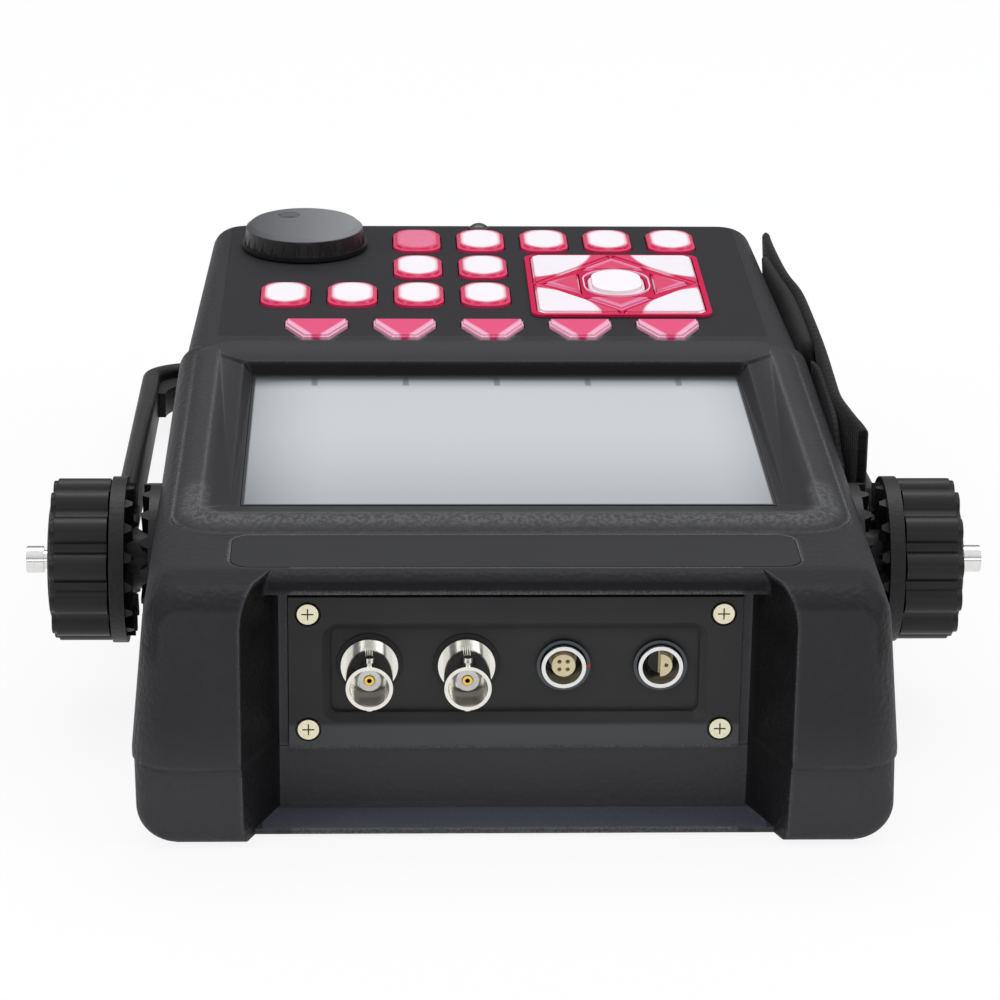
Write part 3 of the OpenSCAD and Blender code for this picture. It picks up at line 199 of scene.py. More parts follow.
table_reach = 6
mesh = bpy.data.meshes.new("table")
mesh.from_pydata([Vector((a * table_reach, b * table_reach, 0))
                  for a, b in ((-1, -1), (1, -1), (1, 1), (-1, 1))], [], [range(4)])
table = put("table", mesh)
paper = Finish("white table", {"Base Color": ink("#eeeef0"), "Roughness": 0.62})
plain_white = 0.88  # the share of it that the eye and shiny pieces see in place of the table
by_eye, by_gloss, by_glass = [paper.node("ShaderNodeLightPath", {}, {}, ray) for ray in (
    "Is Camera Ray", "Is Glossy Ray", "Is Transmission Ray")]
seen = by_eye.most(by_gloss).most(by_glass)
glow = paper.node("ShaderNodeEmission", {}, {"Color": ink("#ffffff"), "Strength": 1})
lit = paper.node("ShaderNodeMixShader", {},
                 [seen * plain_white, Wire(paper, paper.shader.outputs[0]), glow])
paper.feed(paper.tree.nodes["Material Output"], {"Surface": lit})
cover(paper, table)

air = Finish("studio air", {"Strength": 1}, bpy.data.worlds)
horizon, haze_depth = 0.52, 0.7
up = air.parts(air.spot("Generated"))[2]
air.vary({"Color": air.mixed(up.above(horizon, haze_depth), ink("#7d7e82"), ink("#f9fafb"))})
bpy.context.scene.world = air.material


def softbox(name, place, aim, wide, high, watts):
    """A square lamp behind a cloth, at one place and turned to another."""
    lamp = bpy.data.lights.new(name, "AREA")
    lamp.shape = "RECTANGLE"
    lamp.size, lamp.size_y, lamp.energy = wide, high, watts
    made = put(name, lamp)
    made.location = place
    made.rotation_euler = (Vector(aim) - Vector(place)).to_track_quat("-Z", "Y").to_euler()


softbox("lamp_over", (0.0, 0.55, 1.4), (0, 0.02, 0.05), wide=1.3, high=0.6, watts=7)
softbox("lamp_left", (-1.3, -0.7, 0.9), (0, 0, 0.03), wide=0.8, high=0.8, watts=5)
softbox("lamp_right", (1.4, -0.4, 0.9), (0, 0, 0.03), wide=0.8, high=0.8, watts=6)
softbox("lamp_front", (0.1, -1.7, 0.42), (0, -0.1, 0.02), wide=1.2, high=0.35, watts=2.6)

lens = bpy.data.cameras.new("camera")
lens.sensor_width, lens.lens, lens.clip_end = 36, 129.36, 50
camera = put("camera", lens)
eye = at(-29.212, -662.656, 324.82)
yaw, pitch, roll = (math.radians(a) for a in (2.159, 20.538, 0.727))
look = Vector((math.sin(yaw) * math.cos(pitch), math.cos(yaw) * math.cos(pitch),
               -math.sin(pitch)))
level = Vector((math.cos(yaw), -math.sin(yaw), 0))
rise = level.cross(look)
side = level * math.cos(roll) + rise * math.sin(roll)
top = rise * math.cos(roll) - level * math.sin(roll)
camera.matrix_world = Matrix.Translation(eye) @ Matrix((side, top, -look)).transposed().to_4x4()
bpy.context.scene.camera = camera
bpy.context.scene.view_settings.view_transform = "Standard"


def settled(piece):
    """Gives a piece the mesh that its modifiers make of it."""
    bpy.context.view_layer.update()
    mesh = bpy.data.meshes.new_from_object(
        piece.evaluated_get(bpy.context.evaluated_depsgraph_get()))
    piece.modifiers.clear()
    piece.data = mesh
    return mesh


def moulding(node, body, radius, sharp=27):
    """A node's shape again, with its faces joined and its edges rounded as a mould leaves them."""
    weld, flat, margin = 0.004 * mm, math.radians(0.6), 8
    work = bmesh.new()
    work.from_mesh(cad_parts[node].data)
    bmesh.ops.remove_doubles(work, verts=work.verts, dist=weld)
    bmesh.ops.dissolve_limit(work, angle_limit=flat, verts=work.verts, edges=work.edges)
    work.verts.index_update()
    mesh = bpy.data.meshes.new(node + "_moulding")
    mesh.from_pydata([v.co.copy() for v in work.verts], [],
                     [[v.index for v in f.verts] for f in work.faces])
    work.free()
    piece = put(node + "_moulding", mesh)
    edge = piece.modifiers.new("edge", "BEVEL")
    edge.width, edge.segments = radius * mm, 2
    edge.limit_method, edge.angle_limit = "ANGLE", math.radians(sharp)
    edge.miter_outer = "MITER_ARC"
    shaped = settled(piece)
    shaped.shade_smooth()
    shaped.set_sharp_from_angle(angle=math.radians(sharp + margin))
    level_faces = piece.modifiers.new("level_faces", "WEIGHTED_NORMAL")
    level_faces.keep_sharp = True
    settled(piece)
    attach(piece, body)
    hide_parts(node)
    return piece


def formed(name, work, body, sharp=None):
    """Ends the work on a form: a piece on a body, smooth but for edges past an angle."""
    mesh = bpy.data.meshes.new(name)
    work.to_mesh(mesh)
    work.free()
    mesh.shade_smooth()
    if sharp is not None:
        mesh.set_sharp_from_angle(angle=math.radians(sharp))
    piece = put(name, mesh)
    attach(piece, body)
    return piece


def bumper_toe(name, way):
    """The round lower corner of one bumper, which fills out the case's plainer corner."""
    inner_x, side_x, low_side_x = 64.6, 78.1, 77.5
    front_y, inner_y, heel_y, back_y = 0.87, 4.2, 9.46, 9.4
    foot_z, seam_low_z, seam_z = 0.8, 16.45, 17.95
    plan_r, heel_r, toe_r, lift = 9, 8.4, 2.2, 0.02
    right_angle, plan_steps, toe_steps, sharp = math.pi / 2, 12, 5, 38
    spots = []
    for k in range(plan_steps + 1):
        turn = right_angle * k / plan_steps
        for height in (seam_low_z, seam_z):
            spots.append((side_x - plan_r + plan_r * math.sin(turn),
                          heel_y - plan_r * math.cos(turn), height))
    rims = [(heel_r - toe_r + toe_r * math.sin(a), front_y + toe_r * (1 - math.cos(a)))
            for a in [right_angle * k / toe_steps for k in range(toe_steps + 1)]]
    for radius, deep in rims + [(heel_r, back_y)]:
        for k in range(2 * plan_steps + 1):
            turn = right_angle * (k / plan_steps - 1)
            spots.append((low_side_x - heel_r + radius * math.cos(turn), deep,
                          foot_z + heel_r + radius * math.sin(turn)))
    for height in (foot_z + lift, seam_z):
        spots += [(inner_x, inner_y, height), (inner_x, back_y, height)]
    work = bmesh.new()
    bmesh.ops.convex_hull(work, input=[work.verts.new(at(way * a, b, c)) for a, b, c in spots])
    loose = [v for v in work.verts if not v.link_faces]
    bmesh.ops.delete(work, geom=loose, context="VERTS")
    bmesh.ops.recalc_face_normals(work, faces=work.faces)
    return formed(name, work, "case", sharp)


def within(blur, distance, *others):
    """1 where all of some distances past the faces of a region are below 0."""
    for other in others:
        distance = distance.most(other)
    return distance.below(0, blur)


front = moulding("front_shell", "case", radius=0.45)
back = moulding("back_shell", "case", radius=0.5)
toes = [bumper_toe("bumper_toe_left", -1), bumper_toe("bumper_toe_right", 1)]
hide = Finish("leather grain plastic", {"IOR": 1.45, "Specular IOR Level": 0.14})
spot = hide.spot()
x, y, z = hide.measured(spot)
facing = hide.parts(hide.spot("Normal"))
folds = hide.cloud(spot, 2.6, 3, 0.6)
pebbles = hide.cells(spot, 1.1)
fine = hide.cloud(spot, 0.32, 3, 0.6)
broad = hide.cloud(spot, 26, 3, 0.55)
# sparkle that breaks up the painted highlight on the frame's crest
highlight_sparkle = hide.cloud(spot, 0.9, 2, 0.6).above(0.5, 0.16)

# the regions of the case: the keypad panel, the frame's inner slope and the display dish
panel_x, panel_y, panel_z = 66.5, (168, 262), 53.7
panel = within(0.6, abs(x) - panel_x, panel_y[0] - y, y - panel_y[1], panel_z - z)
frame_x, frame_y, frame_reach, frame_z = 65.8, 98.5, 57.9, 52.6
slope = within(0.4, abs(x) - frame_x, abs(y - frame_y) - frame_reach) * z.above(frame_z, 0.2)
dish_x, dish_reach, dish_z = 61.5, 53.5, 50
dish = within(1, abs(x) - dish_x, abs(y - frame_y) - dish_reach) * z.above(dish_z, 1)
# painted shade at the foot of the frame's far slope, under its far wall
far_slope_shade_y = (145.9, 148.3)
far_slope_shade = within(0.4, far_slope_shade_y[0] - y, y - far_slope_shade_y[1]) * slope
# a painted highlight along the frame's crest, brightest and sparkling towards the socket end
ridge_z, near_end = 57, 60
ridge_highlight = z.above(ridge_z, 1.4) * (1 - panel)
ridge_highlight = ridge_highlight * (y.below(near_end, 6) * (highlight_sparkle * 0.45 + 0.13) + 0.12)

# the socket recess: its back wall, the lip over it, the bumpers' inner sides and the sill, each
# with light or shade painted on it
well_x, well_y, well_z, wall_y = 49.5, 20, 51, 13.5
well = within(1, abs(x) - well_x, y - well_y, z - well_z)
# the back wall is painted lighter, as light thrown up from the table
back_wall_light = well * y.above(wall_y, 3)
bumper_x, bumper_back = (46, 62), 19
inner_side = within(1, abs(x) - bumper_x[1], y - bumper_back, bumper_x[0] - abs(x))
# the bumpers' inner sides, turned to the recess, are painted dark as shade
inner = (x * facing[0] / abs(x)).below(-0.35, 0.2) * inner_side
# painted shade on the upper faces near the bumpers' fronts, except those turned straight to the
# front
brow_y, brow_z = 15, 41
brow_shade = y.below(brow_y, 6) * z.above(brow_z, 6) * (1 - facing[1].below(-0.85, 0.1))
# the lip's front and underside are painted dark as shade
lip_x, lip_y, lip_z = 54, 12, 44
lip = within(1, abs(x) - lip_x, lip_z - z, y - lip_y) * facing[2].below(0.6, 0.2)
# the sill's top is painted the lighter blue-grey of a white table in shade
sill_x, sill_y, sill_z = 52, 16, 3.2
sill = within(0.4, abs(x) - sill_x, y - sill_y, z - sill_z) * facing[2].above(0.5, 0.3)
# the faces low on the case are painted lighter, as light thrown up from the table
low_z = 20
low_face_light = z.below(low_z, 20) * (1 - well) * (1 - sill)

# the edges, with a painted grey highlight broken by the grain, but not at the seam of the two
# halves
highlight_width, free_reach, seam_z, seam_width = 1.5, 1.6, 17.8, 1.6
rounded = hide.node("ShaderNodeBevel", {"samples": 4}, {"Radius": highlight_width * mm})
plain_side = hide.node("ShaderNodeNewGeometry", {}, {}, "Normal")
turned = hide.node("ShaderNodeVectorMath", {"operation": "DOT_PRODUCT"},
                   [rounded, plain_side], "Value")
free = hide.node("ShaderNodeAmbientOcclusion", {"samples": 4, "only_local": True},
                 {"Distance": free_reach * mm}, "AO")
edge_turn, open_share = 0.965, 0.78
edge_highlight = turned.below(edge_turn, 0.06) * (1 - panel) * free.above(open_share, 0.2)
edge_highlight = edge_highlight * (fine.above(0.5, 0.22) * 0.75 + 0.25) * (1 - inner_side * 0.7) * (1 - dish * 0.75)
edge_highlight = edge_highlight * (1 - abs(z - seam_z).below(seam_width, 0.6) * 0.85)

# the crimson floor of the direction pad, which shows between its keys
pad_middle, pad_half, pad_rim = (32.4, 208.25), (21.6, 25.05), 0.9
pad_floor_z = 56.2
pad = within(0.2, abs(x - pad_middle[0]) - (pad_half[0] + pad_rim),
             abs(y - pad_middle[1]) - (pad_half[1] + pad_rim)) * z.above(pad_floor_z, 0.2)

# the plastic's own two tones, and over them each region's tone at its share: all painted light and
# shade but for the pad's own crimson
tone = hide.mixed(broad * 0.7 + folds * 0.3, ink("#28282a"), ink("#363638"))
tone = hide.mixed(panel, tone, hide.mixed(broad, ink("#262628"), ink("#2d2d30")))
for region, share, colour in (
        (far_slope_shade, 1, "#0a0a0b"), (back_wall_light, 0.8, "#47474a"), (brow_shade, 0.5, "#0e0e0f"),
        (sill, 1, "#53555e"), (ridge_highlight, 1, "#606062"), (lip, 0.85, "#0e0e0f"),
        (low_face_light, 0.6, "#444447"), (inner, 0.85, "#0b0b0c"), (edge_highlight, 1, "#78787b"),
        (pad, 1, "#c4164a")):
    tone = hide.mixed(region * share, tone, ink(colour))
grain = (1 - panel) * (1 - slope * 0.85) * (1 - well * 0.5)
grain_depth, fine_depth = 0.22, 0.045
skin = hide.relief((1 - pebbles) * grain + folds * grain * 0.6, grain_depth)
hide.vary({"Base Color": tone, "Normal": hide.relief(fine, fine_depth, skin),
           "Roughness": 0.42 + broad * 0.08 + fine * 0.06 + panel * 0.08 - edge_highlight * 0.08})
cover(hide, front, back, *toes)

# The label plate: a thin black plastic plate glued into a recess of the lip, left bare.
# It is moulded smooth, with a satin face that is a little cloudy in the light.
plain = Finish("satin black plate", {"IOR": 1.45, "Specular IOR Level": 0.4})
spot = plain.spot()
haze = plain.cloud(spot, 18)
plain.vary({"Base Color": plain.mixed(haze, ink("#141416"), ink("#1c1c1f")),
            "Roughness": 0.24 + haze * 0.10,
            "Normal": plain.relief(plain.cloud(spot, 0.25), 0.006)})
cover(plain, "label_plate")

# The display: a liquid crystal panel in a tinned steel frame, behind non-glare glass that is
# bonded to a ledge of the case with black adhesive. Its colour is painted darker towards its edges
# as shade and reflection, with a painted shadow along the far edge, and ticks printed on the glass
# point to the softkeys.


def corners(node):
    """A node's lowest and highest corners, in millimetres as all places are."""
    return [Vector((c.x, c.y - bumpers, c.z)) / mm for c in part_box(node)]


def mottled(name, shader, tones, patch, roughness, depth, detail=3, harsh=0.5):
    """A finish of two close tones in soft patches, which also roughen and lift it a little."""
    made = Finish(name, shader)
    cloud = made.cloud(made.spot(), patch, detail, harsh)
    made.vary({"Base Color": made.mixed(cloud, ink(tones[0]), ink(tones[1])),
               "Roughness": roughness[0] + cloud * roughness[1],
               "Normal": made.relief(cloud, depth)})
    return made


low, high = corners("display_window")
glass = Finish("non-glare window",
               {"IOR": 1.5, "Coat Roughness": 0.16, "Specular IOR Level": 0.35})
spot = glass.spot()
x, y = glass.measured(spot)[:2]
left, right, near, far = x - low.x, high.x - x, y - low.y, high.y - y
cloud = glass.cloud(spot, 46, 1, 0.4)
shade = cloud * 0.05
# each edge's painted shade: where it is half gone, the width over which it goes, and its share
for distance, middle, width, share in (
        (left, 0, 40, 0.9), (right, 0, 26, 0.4), (near, 10, 90, 0.56), (far, 4.2, 13, 1.1)):
    shade = shade + distance.below(middle, width) * share
face = glass.mixed(shade.least(1), ink("#c6c8cb"), ink("#6a7076"))
# a painted shadow along the far edge, where the frame's far wall shades the panel
far_shadow_width, far_shadow_share, adhesive_width = 2.4, 0.9, 0.7
face = glass.mixed(far.below(far_shadow_width, 4) * far_shadow_share, face, ink("#26282b"))
adhesive = left.least(right).least(near).below(adhesive_width, 0.5)
softkey_pitch, tick_half, tick_length, tick_reach, tick_share = 21.5, 0.7, 6.5, 50, 0.5
all_positive = 10.5 * softkey_pitch  # added so that no remainder is of a negative number
off_tick = abs((x + all_positive) % softkey_pitch - softkey_pitch / 2)
tick = within(0.5, off_tick - tick_half, far - tick_length, abs(x) - tick_reach)
glass.vary({"Base Color": glass.mixed(adhesive.most(tick * tick_share), face, ink("#1d1e20")),
            "Roughness": 0.36 + cloud * 0.06, "Coat Weight": 0.2 + cloud * 0.05,
            "Normal": glass.relief(glass.cloud(spot, 0.18, 1), 0.003)})
cover(glass, "display_window")
can = mottled("tinned steel frame", {"Metallic": 1}, ("#8f9193", "#a9abac"), patch=6,
              roughness=(0.36, 0.18), depth=0.02, detail=4, harsh=0.6)
cover(can, "lcd_module", "encoder")

# The boards: glass-fibre laminate with a green solder mask, screwed to posts of the back
# shell. The copper tracks under the mask show as a lighter green.
laminate = Finish("green solder mask", {"IOR": 1.5})
track_share = 0.30
tracks = laminate.cells(laminate.spot(), 2.2, "F1").below(track_share, 0.05)
laminate.vary({"Base Color": laminate.mixed(tracks, ink("#1f5a33"), ink("#2f7a46")),
               "Roughness": 0.34 + tracks * 0.1, "Normal": laminate.relief(tracks, 0.02)})
cover(laminate, "main_board", "key_board")

# The connector plate: a plain satin black moulding with a shallow pocket for the sockets,
# held by four small cross-head screws of bright zinc-plated steel.
plate = moulding("connector_plate", "case", radius=0.22)
satin = Finish("satin moulded plate", {"IOR": 1.46, "Specular IOR Level": 0.2})
spot = satin.spot()
haze = satin.cloud(spot, 12)
pocket_z = 20.6
# the strip below the pocket is painted lighter, as light thrown up from the table
lower_strip_light = satin.measured(spot)[2].below(pocket_z, 1.2)
upper = satin.mixed(haze, ink("#2f2f30"), ink("#393939"))
satin.vary({"Base Color": satin.mixed(lower_strip_light, upper, ink("#4e4f50")),
            "Roughness": 0.44 + haze * 0.08,
            "Normal": satin.relief(satin.cloud(spot, 0.28, 2, 0.6), 0.012)})
cover(satin, plate)
zinc = Finish("bright zinc screws", {"Metallic": 1})
rub = zinc.cloud(zinc.spot(), 0.7, 4, 0.6)
hollow = 0.47  # Blender's measure of how far a place is pointed, below its 0.5 for flat
# the cross recesses are painted dark as shade
cross = zinc.node("ShaderNodeNewGeometry", {}, {}, "Pointiness").below(hollow, 0.05)
bright = zinc.mixed(rub, ink("#cfc8a0"), ink("#f3efdc"))
zinc.vary({"Base Color": zinc.mixed(cross, bright, ink("#4b4636")),
           "Roughness": 0.16 + rub * 0.2, "Normal": zinc.relief(rub, 0.02)})
cover(zinc, "plate_screws", "case_screws")

# The bayonet sockets: turned brass shells with bright nickel, a white fluoroplastic
# dielectric pressed inside and a gold-plated spring contact with a slotted bore.
nickel = Finish("bright nickel", {"Metallic": 1})
into_rings = (1.0, 24.0, 1.0)  # squeezes the clouds along the axis, into a lathe's fine rings
squeezed = nickel.node("ShaderNodeVectorMath", {"operation": "MULTIPLY"},
                       [nickel.spot(), into_rings])
turning = nickel.cloud(squeezed, 2.4)
nickel.vary({"Base Color": nickel.mixed(turning, ink("#dcdad2"), ink("#f0eee8")),
             "Roughness": 0.07 + turning * 0.08, "Normal": nickel.relief(turning, 0.006)})
cover(nickel, moulding("coax_left_shell", "case", radius=0.12),
      moulding("coax_right_shell", "case", radius=0.12))
cover(mottled("white fluoroplastic", {"IOR": 1.36}, ("#f2f0ea", "#fbfaf6"), patch=0.8,
              roughness=(0.38, 0.12), depth=0.01), "coax_dielectrics")
cover(mottled("gold-plated contact", {"Metallic": 1}, ("#e0b54e", "#f2cf70"), patch=0.5,
              roughness=(0.2, 0.12), depth=0.006), "coax_contacts")

# The round push-pull sockets: chromed shells, each with a cream moulded insert. The first
# has four contacts and a red dot that shows how the plug goes in, and half of the second's
# insert is open, its hollow painted as near-black shade. All four sockets sit on rubber seals or
# dark chrome nuts.
chrome = Finish("satin chrome", {"IOR": 1.5})
spot = chrome.spot()
x, y, z = chrome.measured(spot)
cloud = chrome.cloud(spot, 1.2, 3)
low_a, high_a = corners("round_socket_a")
low_b, high_b = corners("round_socket_b")
bore_r, bore_start, sockets_reach = 3.72, 0.35, 60
pair_middle = (low_a.x + high_b.x) / 2
half_apart = (low_b.x + high_b.x - low_a.x - high_a.x) / 4
across = abs(x - pair_middle) - half_apart
radius = (across * across + (z - (low_a.z + high_a.z) / 2) ** 2) ** 0.5
# the inside of the bore right of the middle is painted dark, dull and not metallic, as shade
bore = radius.below(bore_r, 0.1) * y.above(low_a.y + bore_start, 0.1)
bore = bore * x.above(0, 1) * (abs(x) - sockets_reach).below(0, 1)
bright = chrome.mixed(cloud, ink("#d6d6d4"), ink("#ececea"))
chrome.vary({"Base Color": chrome.mixed(bore, bright, ink("#1a1715")),
             "Metallic": 1 - bore * 0.8, "Roughness": 0.12 + cloud * 0.08 + bore * 0.4,
             "Normal": chrome.relief(cloud, 0.004)})
cover(chrome, moulding("round_socket_a", "case", radius=0.18),
      moulding("round_socket_b", "case", radius=0.18), "spindle_left", "spindle_right")
cream_tones = ("#dccb9f", "#ecdfba")
cover(mottled("cream insulator", {"IOR": 1.5}, cream_tones, patch=0.6,
              roughness=(0.42, 0.1), depth=0.008), "round_insert_a")
low, high = corners("round_insert_b")
moon = Finish("half-moon insulator", {"IOR": 1.5})
spot = moon.spot()
cloud = moon.cloud(spot, 0.6, 3)
# the open half is painted near black, as the shade of the hollow behind it
open_half_shade = (moon.measured(spot)[0] - (low.x + high.x) / 2).below(-0.3, 0.3)
solid_half = moon.mixed(cloud, *[ink(t) for t in cream_tones])
moon.vary({"Base Color": moon.mixed(open_half_shade, solid_half, ink("#0b0b0c")),
           "Roughness": 0.42 + cloud * 0.1, "Normal": moon.relief(cloud, 0.008)})
cover(moon, "round_insert_b")
ring = Finish("rubber seals and dark chrome nuts", {"IOR": 1.5})
spot = ring.spot()
nuts = ring.measured(spot)[0].above(0, 1)
cloud = ring.cloud(spot, 0.5, 3)
ring.vary({"Base Color": ring.mixed(nuts, ink("#101011"), ink("#4d5155")),
           "Metallic": nuts * 0.9, "Roughness": 0.62 - nuts * 0.36 + cloud * 0.08,
           "Normal": ring.relief(cloud, 0.01)})
cover(ring, moulding("socket_seals", "case", radius=0.14))
low, high = corners("round_socket_a")
dot_r, dot_flat, dot_gap = 0.45, 0.45, 0.5
dot = bmesh.new()
bmesh.ops.create_uvsphere(dot, u_segments=16, v_segments=8, radius=dot_r * mm)
bmesh.ops.scale(dot, vec=(1, dot_flat, 1), verts=dot.verts)
bmesh.ops.translate(dot, verts=dot.verts, vec=at(
    high.x + dot_gap, corners("socket_seals")[0].y, (low.z + high.z) / 2))
keying_dot = formed("keying_dot", dot, "case")
cover(mottled("red enamel", {"IOR": 1.5}, ("#b3122c", "#cf1f3a"), patch=0.2,
              roughness=(0.2, 0.1), depth=0.004, detail=2), keying_dot)

# The keys: domed caps moulded in white plastic. A crimson band is printed round the edge
# of each, and the power key is crimson all over.
key_flange = 0.65
key_pieces = {node: moulding(node, node, radius=0.32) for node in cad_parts
              if node.startswith(("key_", "pad_", "softkey_")) and node != "key_board"}


def cap_gloss(made, spot):
    """Gives a key's finish the thin gloss that they all have, and returns its faint clouds."""
    cloud = made.cloud(spot, 3)
    made.vary({"Roughness": 0.30 + cloud * 0.08, "Coat Weight": 0.25 + cloud * 0.1,
               "Normal": made.relief(cloud, 0.01)})
    return cloud


def printed_cap(name, tones, band, width):
    """Two printed colours on a cap of the common size: its face, and a band round its edge."""
    made = Finish(name, {"IOR": 1.5, "Coat Roughness": 0.12})
    low, high = corners("key_b1")
    corner_r, print_blur = 6.4, 1.7
    over = [(abs(share - 0.5) * size - (size / 2 - key_flange - corner_r)).most(0)
            for share, size in zip(made.parts(made.spot("Generated")), high.xy - low.xy)]
    out = (over[0] * over[0] + over[1] * over[1]) ** 0.5 - corner_r
    cloud = cap_gloss(made, made.spot())
    face = made.mixed(cloud, ink(tones[0]), ink(tones[1]))
    made.vary({"Base Color": made.mixed(out.above(-width, print_blur), face, band)})
    return made


crimson = ink("#dc1f5c")
white_cap = printed_cap("white key", ("#f8f0f7", "#fef8fd"), crimson, 1.3)
red_cap = printed_cap("crimson power key", ("#e2688e", "#ea7a9d"), crimson, 1.2)
for node, piece in key_pieces.items():
    if node.startswith("key_"):
        cover(red_cap if node == "key_power" else white_cap, piece)

# The direction pad: nine caps in one crimson block. The corner keys are white with a crimson
# edge, the arrows are two shades of pink, and the middle key is a white oval in a pale ring
# that stands up from the case around it.
arrows_x, arrows_y = 19.4, 22.85  # how far the points of the arrows' diamond reach
per_step = 1 / math.hypot(1 / arrows_x, 1 / arrows_y)
oval_length, oval_r, oval_ring_r = 2.8, 6.7, 9.7


def from_pad_middle(made, spot):
    """A point's distances from the pad's middle, across and along."""
    x, y = made.measured(spot)[:2]
    return abs(x - pad_middle[0]), abs(y - pad_middle[1])


def oval_reach(u, v):
    """How wide an oval round the pad's middle has to be to reach a point."""
    beyond = (v - oval_length).most(0)
    return (u * u + beyond * beyond) ** 0.5


corner = Finish("pad corner key", {"IOR": 1.5, "Coat Roughness": 0.12})
spot = corner.spot()
u, v = from_pad_middle(corner, spot)
arrow_gap_x, arrow_gap_y, face_r, face_inset = 4.2, 3.0, 6.0, 5.0
straight = (pad_half[0] - u).least(pad_half[1] - v).least(u - arrow_gap_x).least(v - arrow_gap_y)
slanting = (u / arrows_x + v / arrows_y - 1) * per_step
# the two distances are joined so that the white face has round corners
face = ((face_r - straight).most(0) ** 2 + (face_r - slanting).most(0) ** 2) ** 0.5
white = corner.mixed(cap_gloss(corner, spot), ink("#f3ebf2"), ink("#fbf4fa"))
corner.vary({"Base Color": corner.mixed(face.below(face_inset, 1.3), crimson, white)})
cover(corner, *[key_pieces["pad_corner_%d" % i] for i in range(1, 5)])
arrow = Finish("pad arrow key", {"IOR": 1.5, "Coat Roughness": 0.12})
spot = arrow.spot()
cap_gloss(arrow, spot)
u, v = from_pad_middle(arrow, spot)
arrow_border = 2.6
inside = (1 - (u / arrows_x + v / arrows_y)) * per_step
petal = arrow.mixed(inside.above(arrow_border, 1.2), ink("#e77ba6"), ink("#dc2a60"))
near_oval = oval_reach(u, v).below(oval_ring_r, 0.6)
arrow.vary({"Base Color": arrow.mixed(near_oval, petal, ink("#f2bdd2"))})
cover(arrow, *[key_pieces["pad_" + way] for way in ("up", "down", "left", "right")])
middle = Finish("pad middle key", {"IOR": 1.5, "Coat Roughness": 0.12})
spot = middle.spot()
cap_gloss(middle, spot)
rim = oval_reach(*from_pad_middle(middle, spot)).above(oval_r, 0.7)
middle.vary({"Base Color": middle.mixed(rim, ink("#fbf6fb"), ink("#f2bdd2"))})
cover(middle, key_pieces["pad_centre"])
low, high = corners("pad_centre")
ring_gap, ring_edge, ring_turns = 0.35, 0.25, 72
ring_foot, ring_shoulder, ring_top = 56.78, 57.1, 57.3
outside = (8.35, 11.2)
hole = ((high.x - low.x) / 2 + ring_gap, (high.y - low.y) / 2 + ring_gap)
ring_work, loops = bmesh.new(), []
for (wide, long), shift, height in (
        (outside, 0, ring_foot), (outside, 0, ring_shoulder), (outside, -ring_edge, ring_top),
        (hole, ring_edge, ring_top), (hole, 0, ring_shoulder), (hole, 0, ring_foot)):
    loop = []
    for k in range(ring_turns):
        turn = 2 * math.pi * k / ring_turns
        end = pad_middle[1] + (long - wide) * (1 if math.sin(turn) > 0 else -1)
        loop.append(ring_work.verts.new(at(pad_middle[0] + (wide + shift) * math.cos(turn),
                                           end + (wide + shift) * math.sin(turn), height)))
    loops.append(loop)


def skinned(work, one, two):
    """Joins two loops of points with a band of faces."""
    count = len(one)
    for k in range(count):
        after = (k + 1) % count
        work.faces.new((one[k], one[after], two[after], two[k]))


for lower, upper in zip(loops, loops[1:] + loops[:1]):
    skinned(ring_work, lower, upper)
bmesh.ops.recalc_face_normals(ring_work, faces=ring_work.faces)
pad_ring = formed("pad_ring", ring_work, "case", sharp=40)
cover(mottled("pale pad ring", {"IOR": 1.5}, ("#efb9d0", "#f6c9dc"), patch=3,
              roughness=(0.34, 0.08), depth=0.01, detail=2), pad_ring)

# The softkeys: crimson caps whose slanting sides are printed in a lighter pink. Each is
# moulded like the other keys and points to a mark on the display.
soft = Finish("softkey", {"IOR": 1.5, "Coat Roughness": 0.12})
low, high = corners("softkey_1")
tip_half, side_lean, side_width = 3.1, 0.487, 1.9
share_x, share_y = soft.parts(soft.spot("Generated"))[:2]
u = abs(share_x - 0.5) * (high.x - low.x)
v = share_y * (high.y - low.y) - key_flange
slant = (v * side_lean + tip_half - u) * (1 / math.hypot(1, side_lean))
cap_gloss(soft, soft.spot())
soft.vary({"Base Color": soft.mixed(slant.above(side_width, 0.9), ink("#f5adc8"),
                                     ink("#e63c74"))})
cover(soft, *[key_pieces["softkey_%d" % i] for i in range(1, 6)])

# The knobs: a fluted black cap with a finger dimple, pressed on the steel shaft of an
# encoder, and the two clamp knobs of the bail, which bear on toothed hubs of the same
# plastic. The lamp behind the keys is a small smoked dome.
knob = moulding("rotary_knob", "dial", radius=0.3)
low, high = corners("rotary_knob")
lid_depth = 1.0
dial_skin = Finish("satin dial plastic", {"IOR": 1.5, "Specular IOR Level": 0.4})
spot = dial_skin.spot()
x, z = dial_skin.measured(spot)[::2]
spark = dial_skin.cloud(spot, 0.3, 3, 0.6)
